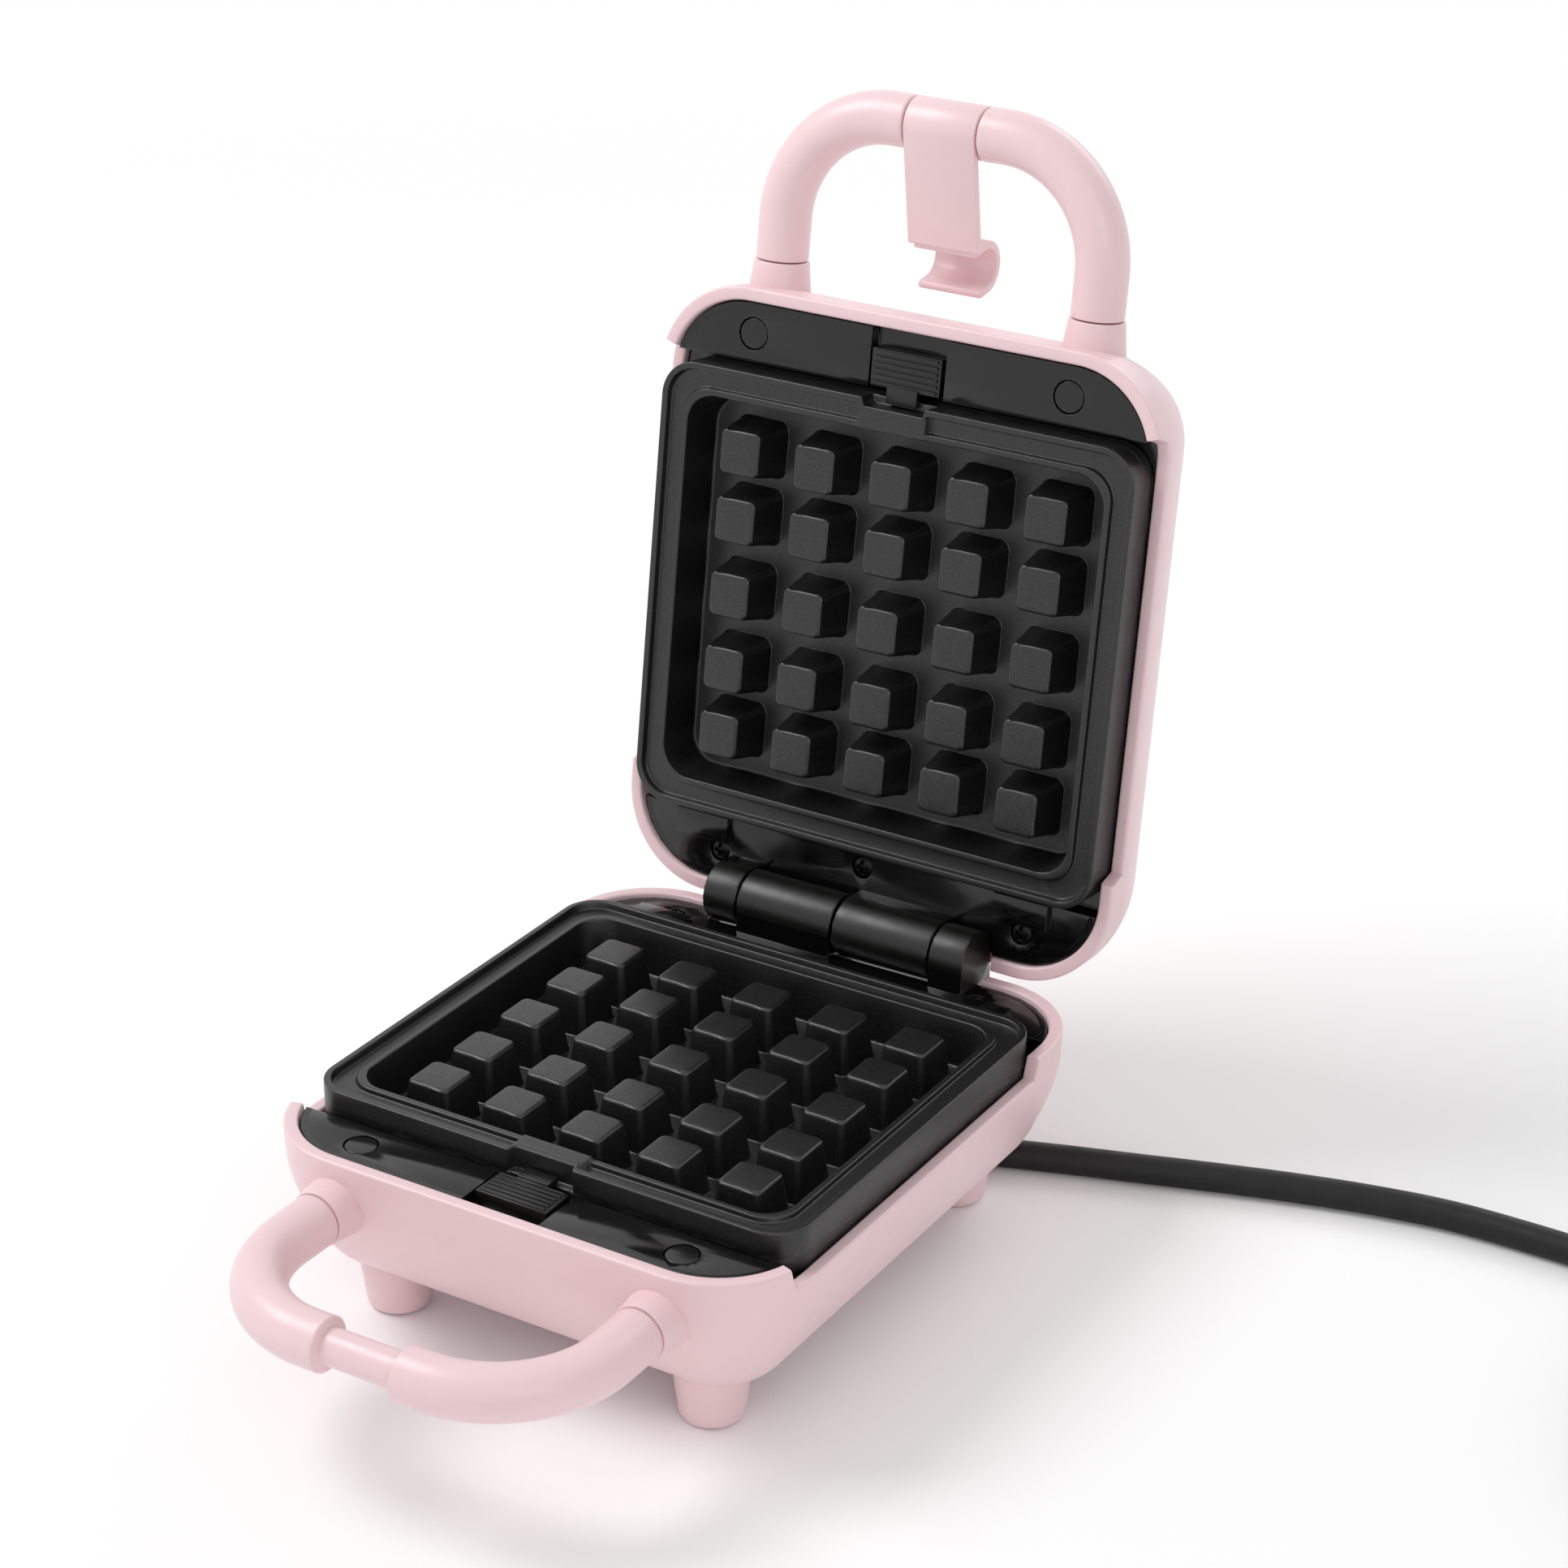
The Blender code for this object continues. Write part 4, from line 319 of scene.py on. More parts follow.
def coating(name, streaks):
    # Sprayed non-stick coating on cast aluminium: near black and softly shiny, with a fine sparkling grain.
    material, tree, surface = newMaterial(name, "100F0F", 0.34, Specular_IOR_Level=0.6)
    own = addNode(tree, "ShaderNodeAttribute", attribute_name="ownPlace").outputs["Vector"]

    def grain(size, detail, stretch=(1, 1, 1)):
        place = addNode(tree, "ShaderNodeMapping", {"Vector": own, "Scale": stretch}).outputs["Vector"]
        return addNode(tree, "ShaderNodeTexNoise", {"Vector": place, "Scale": 1 / size,
                                                    "Detail": detail}).outputs["Fac"]

    fine = grain(0.28 * mm, 2.0)
    colourBetween(tree, surface, fine, 0.56, 0.74, "0F0E0E", "3C3C3E")
    shineBetween(tree, surface, fine, 0.40, 0.28, 0.35, 0.65)
    if not streaks:
        addBump(tree, surface, fine, 0.03 * mm)
        return material
    # Machined outer walls: long thin lines along the rim, bright on their crests.
    lines = grain(7 * mm, 6.0, (1, 1, 30))
    colourBetween(tree, surface, lines, 0.52, 0.66, "121111", "5C5C60")
    tree.links.new(valueBetween(tree, lines, 0.50, 0.66, 0.0, 0.75), surface.inputs["Metallic"])
    both = addNode(tree, "ShaderNodeMath", {0: lines, 1: fine}, operation="ADD").outputs[0]
    addBump(tree, surface, both, 0.05 * mm)
    return material


def plainMetal(name, colour, roughness, grain):
    # Drawn or pressed metal with a fine drawn grain in its shine.
    material, tree, surface = newMaterial(name, colour, roughness, 1.0)
    streak = noise(tree, grain, 3.0, (1, 1, 6))
    shineBetween(tree, surface, streak, roughness * 0.75, roughness * 1.3)
    addBump(tree, surface, streak, 0.01 * mm)
    return material


def rubber():
    # Flexible lead cover: black, matt, with a soft highlight and a slightly uneven skin.
    material, tree, surface = newMaterial("rubber", "0E0D0D", 0.5, Specular_IOR_Level=0.35)
    shineBetween(tree, surface, noise(tree, 4 * mm, 4.0), 0.42, 0.60)
    addBump(tree, surface, noise(tree, 0.5 * mm, 3.0), 0.02 * mm)
    return material


def dull(name, colour, roughness, grain):
    # Ceramic, sleeving and other quiet surfaces: small mottling and a grainy skin.
    material, tree, surface = newMaterial(name, colour, roughness)
    skin = noise(tree, grain, 4.0)
    shineBetween(tree, surface, skin, roughness * 0.85, min(1.0, roughness * 1.2))
    addBump(tree, surface, skin, 0.03 * mm)
    return material


def lensPlastic(name, colour):
    # Clear tinted lens: smooth, with light passing in.
    material, tree, surface = newMaterial(name, colour, 0.12, Transmission_Weight=0.4)
    shineBetween(tree, surface, noise(tree, 1 * mm, 2.0), 0.08, 0.16)
    return material


pink = pinkPlastic()
black = blackPlastic()
satin = satinBlack()
coat = coating("coating", False)
brushed = coating("brushedCoating", True)
steel = plainMetal("platedSteel", "C9C9CB", 0.28, 1.5 * mm)
darkSteel = plainMetal("blackenedSteel", "2C2B2B", 0.38, 1.0 * mm)
sheath = plainMetal("elementSheath", "8C8A86", 0.40, 1.2 * mm)
sheet = plainMetal("traySteel", "BDBDB8", 0.34, 2.0 * mm)
brass = plainMetal("brass", "D9B36A", 0.26, 1.0 * mm)
cover = rubber()
ceramic = dull("ceramic", "EDE8DA", 0.62, 0.8 * mm)
sleeve = dull("glassSleeve", "DAD3BD", 0.85, 0.5 * mm)
redLens = lensPlastic("redLens", "C8231B")
greenLens = lensPlastic("greenLens", "2FA043")
report("materials")


# Casing
shell = {"halfX": 67 * mm, "front": 74.5 * mm, "rear": 76.8 * mm, "corner": 23.5 * mm, "rimTuck": 0.2 * mm,
         "rimWall": 3.3 * mm, "wideTuck": 0.5 * mm, "rimDrop": 5.0 * mm, "widestDrop": 12.0 * mm,
         "bendDrop": 26.25 * mm, "bendTuck": 4.5 * mm, "bottomRound": 13.0 * mm, "bottomDrop": 39.25 * mm,
         "sideNotchDrop": 10.15 * mm, "sideNotchFront": 57.5 * mm, "sideNotchRear": 47.0 * mm,
         "rearNotchHalf": 37.0 * mm, "rearNotchDrop": 9.6 * mm, "blend": 0.45 * mm, "rimRound": 0.7 * mm,
         "bottomLead": 7.2 * mm, "bottomRim": 2.0 * mm, "innerDrop": 24.0 * mm, "innerTuck": 1.5 * mm,
         "straight": 30.0 * mm, "step": 1.0 * mm}
boss = {"x": 41.9 * mm, "drop": 16.6 * mm, "seam": 79.8 * mm, "tip": 6.55 * mm, "root": 7.3 * mm,
        "flare": 7.9 * mm, "bury": 6.0 * mm, "socket": 4.3 * mm, "rise": 0.9 * mm, "fillet": 1.5 * mm,
        "lip": 0.35 * mm, "mouth": 0.2 * mm}
foot = {"x": 41.9 * mm, "front": 52.0 * mm, "rear": 54.5 * mm, "height": 13.2 * mm, "tip": 7.2 * mm,
        "top": 8.8 * mm, "round": 2.4 * mm, "bury": 6.0 * mm, "join": 0.5 * mm}
outlet = {"x": 8.0 * mm, "y": 58.4 * mm, "heading": math.radians(19.5), "pitch": math.radians(5.0),
          "drop": 45.8 * mm, "length": 20.0 * mm, "width": 13.0 * mm, "floorGap": 1.1 * mm,
          "corner": 2.2 * mm, "straight": 2.0 * mm, "edge": 1.2 * mm, "sole": 4.0 * mm, "bury": 0.2 * mm}
floorDrop = shell["bottomDrop"] + foot["height"]


def wallTuck(drop):
    # How far the outer wall lies inside its widest outline: a straight draft, then easing in to the bend.
    top, wide, bend = shell["rimDrop"], shell["widestDrop"], shell["bendDrop"]
    first, second, third = shell["rimTuck"], shell["wideTuck"], shell["bendTuck"]
    upper = first + (second - first) * np.clip((drop - top) / (wide - top), 0, 1)
    return upper + (third - second) * np.clip((drop - wide) / (bend - wide), 0, 1) ** 1.5


def shellRing(tuck):
    return ringXY(shell["halfX"] - tuck, shell["front"] - tuck, shell["rear"] - tuck, shell["corner"] - tuck,
                  40, 44, shell["straight"])


def makeShell(half):
    plan = shellRing(0.0)
    soft = shell["blend"]
    sideCut = (smoothstep(plan[:, 1], -shell["sideNotchFront"] - soft, -shell["sideNotchFront"] + soft)
               * (1 - smoothstep(plan[:, 1], shell["sideNotchRear"] - soft, shell["sideNotchRear"] + soft)))
    sideCut *= np.abs(plan[:, 0]) > shell["halfX"] - shell["corner"]
    notch = shell["rearNotchHalf"]
    rearCut = (1 - smoothstep(np.abs(plan[:, 0]), notch - soft, notch + soft)) * (plan[:, 1] > 0)
    rim = (shell["rimDrop"] + sideCut * (shell["sideNotchDrop"] - shell["rimDrop"])
           + rearCut * (shell["rearNotchDrop"] - shell["rimDrop"]))
    edge = shell["rimRound"]
    rings = []

    def addRing(tuck, drop):
        # tuck and drop may vary along the ring.
        tuck = np.broadcast_to(tuck, rim.shape)
        drop = np.broadcast_to(drop, rim.shape)
        wide = plan - outward * tuck[:, None]
        rings.append(np.column_stack([wide, -drop]))

    outward = (plan - shellRing(shell["step"])) / shell["step"]
    bend, bottom, tuckAtBend = shell["bendDrop"], shell["bottomDrop"], shell["bendTuck"]
    full = tuckAtBend + shell["bottomRound"]
    slope = 1.5 * (tuckAtBend - shell["wideTuck"]) / (bend - shell["widestDrop"])
    lead = np.array([slope, 1.0]) / math.hypot(slope, 1.0) * shell["bottomLead"]
    knots = np.array([[tuckAtBend, bend], [tuckAtBend + lead[0], bend + lead[1]],
                      [full - shell["bottomLead"], bottom], [full, bottom]])
    addRing(full + shell["bottomRim"], bottom)
    for t in np.linspace(1, 0, 13):
        weights = np.array([(1 - t) ** 3, 3 * t * (1 - t) ** 2, 3 * t * t * (1 - t), t ** 3])
        tuck, drop = weights @ knots
        addRing(tuck, drop)
    for t in np.linspace(0, 1, 13)[1:]:
        drop = bend + (rim + edge - bend) * t
        addRing(wallTuck(drop), drop)
    thick = shell["rimWall"]
    for angle in np.linspace(0, math.pi / 2, 5)[1:]:
        addRing(wallTuck(rim) + edge * (1 - math.cos(angle)), rim + edge * (1 - math.sin(angle)))
    for angle in np.linspace(math.pi / 2, 0, 5):
        addRing(wallTuck(rim) + thick - edge * (1 - math.cos(angle)), rim + edge * (1 - math.sin(angle)))
    for t in (0.15, 0.5, 1.0):
        drop = (rim + edge) * (1 - t) + shell["innerDrop"] * t
        addRing(wallTuck(rim) + thick + shell["innerTuck"] * t, drop)
    parts = [closedLoft(rings, last=False)]
    for side in (-1, 1):
        start = (side * boss["x"], 0, -boss["drop"])
        seam, tip, root = boss["seam"], boss["tip"], boss["root"]
        wall = shell["front"]
        profile = rounded([(wall - boss["bury"], boss["flare"], 0), (wall - boss["rise"], root, boss["fillet"]),
                           (seam, tip, boss["lip"]), (seam, boss["socket"], boss["mouth"]),
                           (wall, boss["socket"], 0)], 5)
        parts.append(turned(start, (0, -1, 0), profile, 56))
    if half == "base":
        for side in (-1, 1):
            for y in (-foot["front"], foot["rear"]):
                height, tip = foot["height"], foot["tip"]
                profile = rounded([(0, 0, 0), (0, tip, foot["round"]), (height, foot["top"], foot["join"]),
                                   (height + foot["bury"], foot["top"], 0)], 6)
                parts.append(turned((side * foot["x"], y, -floorDrop), (0, 0, 1), profile, 48))
        parts.append(outletBlock())
    points, faces = stack(parts)
    item = addPiece(half + "Casing", toWorld(points, half), faces, half, pink)
    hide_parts(half + "_shell")


def outletFrame():
    spot = np.array([outlet["x"], outlet["y"], -outlet["drop"]])
    flat = np.array([math.cos(outlet["heading"]), math.sin(outlet["heading"]), 0])
    way = flat * math.cos(outlet["pitch"]) - np.array([0, 0, math.sin(outlet["pitch"])])
    return spot, flat, way


def outletBlock():
    # Rounded block under the floor of the casing that the strain relief comes out of.
    spot, flat = outletFrame()[:2]
    across = np.array([-flat[1], flat[0], 0])
    broad = outlet["width"] / 2
    plan = ringXY(outlet["length"] / 2, broad, broad, outlet["corner"], 6, 4, outlet["straight"])
    low, high = floorDrop - outlet["floorGap"], shell["bottomDrop"]
    profile = rounded([(outlet["sole"], low, 0), (0, low, outlet["edge"]), (0, high - outlet["bury"], 0)], 4)
    rings = []
    for tuck, drop in profile:
        grow = 1 - tuck / broad
        place = spot + plan[:, :1] * grow * flat + plan[:, 1:] * grow * across - flat * outlet["length"] / 2
        place[:, 2] = -drop
        rings.append(place)
    return closedLoft(rings)


# Handles
handle = {"x": 41.9 * mm, "drop": 16.6 * mm, "reach": 117.0 * mm, "radius": 6.25 * mm, "bend": 27.0 * mm,
          "seam": 79.8 * mm, "gap": 0.3 * mm, "bar": 4.15 * mm, "barHalf": 9.8 * mm, "edge": 0.45 * mm,
          "spigot": 3.9 * mm, "spigotLength": 5.0 * mm, "run": 1.5 * mm, "root": 0.5 * mm,
          "rootLength": 0.3 * mm, "nudge": 0.01 * mm}


def makeHandle(half):
    x, reach, bend, radius = handle["x"], handle["reach"], handle["bend"], handle["radius"]
    start, edge = handle["seam"] + handle["gap"], handle["edge"]
    rows = []

    def add(px, py, r):
        rows.append((px, py, r))

    add(-x, -start + handle["spigotLength"], handle["spigot"])
    add(-x, -start, handle["spigot"])
    for t in np.linspace(0, math.pi / 2, 5):
        add(-x, -start - edge * (1 - math.cos(t)), radius - edge * (1 - math.sin(t)))
    for y in np.linspace(start + handle["run"], reach - bend, 6):
        add(-x, -y, radius)
    for t in np.linspace(0, math.pi / 2, 28)[1:]:
        add(-x + bend * (1 - math.cos(t)), -(reach - bend) - bend * math.sin(t), radius)
    shoulder = handle["barHalf"]
    add(-shoulder - 2 * edge, -reach, radius)
    for t in np.linspace(0, math.pi / 2, 5):
        add(-shoulder - edge * (1 - math.sin(t)), -reach, radius - edge * (1 - math.cos(t)))
    add(-shoulder + handle["nudge"], -reach, handle["bar"] + handle["root"])
    add(-shoulder + handle["rootLength"], -reach, handle["bar"])
    rows += [(-px, py, r) for px, py, r in rows[::-1]]
    rows = np.array(rows)
    path = np.column_stack([rows[:, 0], rows[:, 1], np.full(len(rows), -handle["drop"])])
    # The tube's direction comes from the ideal line, because rings at one place have no step between them.
    way = np.zeros_like(path)
    inBend = (np.abs(path[:, 0]) < x - handle["nudge"]) & (-path[:, 1] < reach - handle["nudge"])
    angle = np.where(-path[:, 1] <= reach - bend, 0.0, math.pi / 2)
    angle = np.where(inBend, np.arcsin(np.clip((-path[:, 1] - (reach - bend)) / bend, 0, 1)), angle)
    side = np.sign(-path[:, 0])
    way[:, 0] = np.sin(angle)
    way[:, 1] = -np.cos(angle) * side
    up = np.array([0, 0, 1.0])
    across = np.cross(way, up)
    turn = np.linspace(0, 2 * math.pi, 48, endpoint=False)
    rings = (path[:, None] + rows[:, 2][:, None, None]
             * (np.cos(turn)[None, :, None] * across[:, None] + np.sin(turn)[None, :, None] * up))
    points, faces = closedLoft(rings)
    item = addPiece(half + "HandleTube", toWorld(points, half), faces, half, pink)
    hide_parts(half + "_handle")


moulding = {"merge": 0.002 * mm, "flat": math.radians(0.5), "smooth": math.radians(40), "tag": "Moulded"}


def refine(node, body, material, width=0.3 * mm, segments=2, angle=32.0):
    # A copy of a solid's surface with every hard edge rounded.
    source = frame["nodes"][node]
    bm = bmesh.new()
    bm.from_mesh(source.data)
    bmesh.ops.remove_doubles(bm, verts=bm.verts, dist=moulding["merge"])
    bmesh.ops.dissolve_limit(bm, angle_limit=moulding["flat"], verts=bm.verts, edges=bm.edges)
    hard = [e for e in bm.edges if len(e.link_faces) == 2 and e.calc_face_angle(0) > math.radians(angle)]
    bmesh.ops.bevel(bm, geom=hard, offset=width, offset_type="OFFSET", segments=segments, profile=0.5,
                    affect="EDGES", clamp_overlap=True)
    bmesh.ops.triangulate(bm, faces=[f for f in bm.faces if len(f.verts) > 4])
    name = "".join(word.capitalize() if i else word for i, word in enumerate(node.split("_")))
    name += moulding["tag"]
    mesh = bpy.data.meshes.new(name)
    bm.to_mesh(mesh)
    bm.free()
    item = bpy.data.objects.new(name, mesh)
    bpy.context.scene.collection.objects.link(item)
    mesh.materials.clear()
    mesh.materials.append(material)
    mesh.shade_smooth()
    mesh.set_sharp_from_angle(angle=moulding["smooth"])
    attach(item, body)
    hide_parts(node)
    return item


# Cooking plate
plate = {"halfX": 63.0 * mm, "halfY": 55.0 * mm, "corner": 9.0 * mm, "rimDrop": 0.85 * mm, "rimWidth": 1.6 * mm,
         "landDrop": 2.6 * mm, "landWidth": 4.2 * mm, "beadWidth": 1.5 * mm, "beadDrop": 1.4 * mm,
         "floorDrop": 12.85 * mm, "draft": 1.3 * mm, "skirtDrop": 11.05 * mm, "notchHalf": 8.25 * mm,
         "notchDepth": 2.0 * mm, "ledgeDrop": 6.2 * mm, "bridgeHalf": 9.0 * mm, "bodyStep": 4.5 * mm,
         "edge": 0.4 * mm, "floorFillet": 0.9 * mm, "floorStrip": 3.2 * mm, "slope": 0.25 * mm,
         "ledgeSlope": 0.6 * mm, "bridgeSink": 0.05 * mm, "cornerFrom": 8.6 * mm, "cornerLeast": 2.0 * mm,
         "bridgeBlend": (0.3 * mm, 0.5 * mm), "notchBlend": (0.5 * mm, 0.3 * mm), "wallRows": (3, 12)}
cube = {"top": 4.9 * mm, "base": 6.9 * mm, "topDrop": 2.05 * mm, "topRound": 0.9 * mm, "footRound": 0.6 * mm,
        "corner": 1.5 * mm, "columns": 20.5 * mm, "rows": (-35.1 * mm, -18.5 * mm, 0.0, 18.5 * mm, 35.1 * mm),
        "sink": 0.03 * mm, "footStrip": 0.9 * mm, "cornerGrowth": 0.9 * mm, "straight": 1.0 * mm}


def plateProfiles():
    # Cross-sections from the skirt's underside to the cavity floor as (inset, drop): plain rim,
    # bridge at the release, and bridge with the notch cut into the outer wall.
    rim = plate["rimWidth"]
    land = rim + plate["landWidth"]
    bead = land + plate["beadWidth"]
    wall = bead + plate["draft"]
    lip, ledge, floor = plate["rimDrop"], plate["ledgeDrop"], plate["floorDrop"]
    edge, slope = plate["edge"], plate["slope"]

    def section(cut, bridge):
        flush = lip + plate["bridgeSink"]
        landDrop = flush if bridge else plate["landDrop"]
        beadDrop = flush if bridge else plate["beadDrop"]
        shift = 0.1 * cut
        return rounded([
            (plate["bodyStep"], plate["skirtDrop"], 0), (0, plate["skirtDrop"], edge),
            (0, ledge + (0 if cut else plate["ledgeSlope"]), edge), (cut, ledge, edge),
            (cut, lip, edge), (cut + rim, lip, edge), (cut + rim + slope, landDrop, edge),
            (land - slope + shift, landDrop, edge), (land + shift, beadDrop, edge),
            (bead, beadDrop, edge), (wall, floor, plate["floorFillet"]),
            (wall + plate["floorStrip"], floor, 0)], 4)

    return section(0.0, False), section(0.0, True), section(plate["notchDepth"], True)


def makePlate(half):
    plain, bridge, notch = plateProfiles()
    rings = []
    for row in range(len(plain)):
        tuck = max(0.0, float(plain[row, 0]))
        edgeCorner = plate["corner"] - min(tuck, plate["rimWidth"])
        corner = max(edgeCorner - max(0.0, tuck - plate["cornerFrom"]), plate["cornerLeast"])
        plan = ringXY(plate["halfX"] - tuck, plate["halfY"] - tuck, plate["halfY"] - tuck, corner, 18, 30)
        front = plan[:, 1] < -plate["halfY"] * 0.7
        onBridge, onNotch = [
            front * (1 - smoothstep(np.abs(plan[:, 0]), plate[word + "Half"] - plate[word + "Blend"][0],
                                    plate[word + "Half"] + plate[word + "Blend"][1]))
            for word in ("bridge", "notch")]
        inset, drop = [plain[row, k] + onBridge * (bridge[row, k] - plain[row, k])
                       + onNotch * (notch[row, k] - bridge[row, k]) for k in (0, 1)]
        place = np.column_stack([plan, -drop])
        place[:, 1] += np.where(front, inset - plain[row, 0], 0.0)
        rings.append(place)
    parts = [closedLoft(rings, first=False)]
    footDrop = plate["floorDrop"] + cube["sink"]
    section = rounded([(cube["base"] + cube["footStrip"], footDrop, 0),
                       (cube["base"], footDrop, cube["footRound"]),
                       (cube["top"] + cube["topRound"] / 2, cube["topDrop"], cube["topRound"]),
                       (cube["corner"], cube["topDrop"], 0)], 6)
    cubeRings = []
    for reach, drop in section:
        share = (drop - cube["topDrop"]) / (plate["floorDrop"] - cube["topDrop"])
        corner = cube["corner"] + cube["cornerGrowth"] * share + max(0, reach - cube["base"])
        corner = min(corner, reach * 0.8)
        plan = ringXY(reach, reach, reach, corner, 6, 2, min(cube["straight"], (reach - corner) / 2))
        cubeRings.append(np.column_stack([plan, np.full(len(plan), -drop)]))
    flat, cubeFaces = closedLoft(cubeRings, first=False)
    for column in range(-2, 3):
        for y in cube["rows"]:
            parts.append((flat + np.array([column * cube["columns"], y, 0]), cubeFaces))
    points, faces = stack(parts)
    item = addPiece(half + "WafflePlate", toWorld(points, half), faces, half, coat, 50,
                    outward=False)
    # The half's own coordinates carry the coating, so that its lines run along the rim on both halves.
    own = item.data.attributes.new("ownPlace", "FLOAT_VECTOR", "POINT")
    own.data.foreach_set("vector", points.astype(np.float32).ravel())
    item.data.materials.append(brushed)
    index = np.zeros(len(item.data.polygons), np.int32)
    first, last = (row * len(rings[0]) for row in plate["wallRows"])
    index[first:last] = 1
    item.data.polygons.foreach_set("material_index", index)
    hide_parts(half + "_cooking_plate")


# Black edge along the front and rear panels, true round corners over the frame's flat facets
frameEdge = {"tuck": 3.88 * mm, "top": 6.02 * mm, "round": 0.5 * mm, "strip": 1.6 * mm, "low": 11 * mm,
             "front": 56.6 * mm, "rear": 56.8 * mm, "frontMiddle": 10.2 * mm, "rearMiddle": 38.0 * mm,
             "step": 1.0 * mm}


def makeFrameEdges(half):
    plan = shellRing(frameEdge["tuck"])
    outward = (plan - shellRing(frameEdge["tuck"] + frameEdge["step"])) / frameEdge["step"]
    section = rounded([(0, frameEdge["low"], 0), (0, frameEdge["top"], frameEdge["round"]),
                       (frameEdge["strip"], frameEdge["top"], 0)], 5)
    for word, sense in (("front", -1), ("rear", 1)):
        chosen = ((plan[:, 1] * sense > frameEdge[word])
                  & (np.abs(plan[:, 0]) >= frameEdge[word + "Middle"]))
        for side, sign in (("Left", -1), ("Right", 1)):
            pick = np.where(chosen & (np.sign(plan[:, 0]) == sign))[0]
            breaks = np.where(np.diff(pick) > 1)[0]
            if len(breaks):
                pick = np.concatenate([pick[breaks[0] + 1:], pick[:breaks[0] + 1]])
            rows = np.array([np.column_stack([plan[pick] - outward[pick] * tuck, np.full(len(pick), -drop)])
                             for tuck, drop in section])
            faces = gridFaces(rows.shape[0], rows.shape[1], False).tolist()
            addPiece(half + "Panel" + word.title() + side, toWorld(rows.reshape(-1, 3), half), faces, half,
                     black, outward=False)


# Hinge barrels, smooth over the facets of the frames
barrel = {"radius": 7.24 * mm, "edge": 0.5 * mm, "wide": (-26.42 * mm, -0.38 * mm),
          "short": (26.98 * mm, 36.02 * mm), "shortHoles": (0.5 * mm, 0.5 * mm),
          "wideHoles": (2.4 * mm, 4.3 * mm)}


def makeBarrels(half):
    parts = []
    radius, edge = barrel["radius"], barrel["edge"]
    for word in ("wide", "short"):
        low, high = barrel[word]
        first, last = barrel[word + "Holes"]
        long = high - low
        profile = rounded([(0, first, 0), (0, radius, edge), (long, radius, edge), (long, last, 0)], 4)
        parts.append(turned((low, hingeY, 0), (1, 0, 0), profile, 64))
    points, faces = stack(parts)
    addPiece(half + "HingeBarrels", toWorld(points, half), faces, half, satin)


# Round covers over the front screws, and the cross-head rear screws
screws = {"coverX": 41.9 * mm, "coverY": 63.3 * mm, "coverRadius": 3.72 * mm, "coverTop": 6.2 * mm,
          "coverDepth": 3.0 * mm, "headRadius": 2.6 * mm, "headTop": 6.05 * mm, "sink": 2.2 * mm,
          "headHeight": 2.0 * mm, "gap": 0.3 * mm, "slot": 0.45 * mm, "slotLong": 1.6 * mm,
          "slotDeep": 1.0 * mm, "dome": 0.35, "coverFoot": 0.2 * mm, "coverEdge": 0.35 * mm,
          "hub": (0.3 * mm, 0.02 * mm)}
rearScrews = {"right": (40.0 * mm, 65.5 * mm), "middle": (0.0, 60.0 * mm), "left": (-44.0 * mm, 65.5 * mm)}


def makeCovers(half):
    for side, word in ((-1, "left"), (1, "right")):
        radius, top = screws["coverRadius"], screws["coverTop"]
        start = (side * screws["coverX"], -screws["coverY"], -top - screws["coverDepth"])
        profile = rounded([(0, screws["hub"][0], 0), (0, radius, screws["coverFoot"]),
                           (screws["coverDepth"], radius, screws["coverEdge"]),
                           (screws["coverDepth"], screws["hub"][1], 0)], 4)
        points, faces = turned(start, (0, 0, 1), profile, 48)
        item = addPiece(half + "ScrewCover" + word.capitalize(), toWorld(points, half), faces, half, black)
        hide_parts(half + "_screw_cover_" + word)


def makeRearScrews(half):
    base = -screws["headTop"] - screws["sink"] + screws["gap"]
    radius, height = screws["headRadius"], screws["headHeight"]
    reach = np.concatenate([np.linspace(0.02, 0.92, 22) * radius, [radius * 0.97, radius, radius]])
    turn = np.linspace(0, 2 * math.pi, 72, endpoint=False)
    x = reach[:, None] * np.cos(turn)
    y = reach[:, None] * np.sin(turn)
    # Shallow dome with a cross sunk into it.
    dome = height * (1 - screws["dome"] * (reach / radius) ** 3)[:, None] * np.ones_like(x)
    dome[-1] = 0.0
    arms = [1 - smoothstep(np.maximum(np.abs(a) / screws["slot"], np.abs(b) / screws["slotLong"]), 0.75, 1.15)
            for a, b in ((x, y), (y, x))]
    dome -= np.maximum(*arms) * screws["slotDeep"]
    for word, (px, py) in rearScrews.items():
        points, faces = closedLoft(np.stack([x + px, y + py, dome + base], -1), last=False)
        item = addPiece(half + "RearScrew" + word.capitalize(), toWorld(points, half), faces, half, darkSteel)
        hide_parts(half + "_rear_screw_" + word)


# Mains lead: route of the part, in metres, with the coil and tail worked out as they lie
lead = {"diameter": 7.0 * mm, "reliefLength": 24.0 * mm, "reliefRoot": 5.2 * mm, "reliefTip": 4.4 * mm,
        "reliefStem": 3.8 * mm, "stemLength": 9.0 * mm, "reliefRings": 4, "groove": 0.7 * mm, "gap": 0.3 * mm,
        "coilDiameters": 11.0, "coilTurns": 3, "coilSteps": 24, "coilPitch": 7.8 * mm,
        "coilX": 256.0 * mm, "coilY": 56.0 * mm, "tie": 0.6 * mm, "tieGap": 0.5 * mm, "plugHeight": 24.0 * mm,
        "reliefHub": (0.2 * mm, 0.3 * mm), "stemRound": 0.3 * mm, "collarFoot": 0.1 * mm,
        "collarRound": 0.5 * mm, "ringRound": 0.2 * mm, "tipRound": 0.4 * mm}
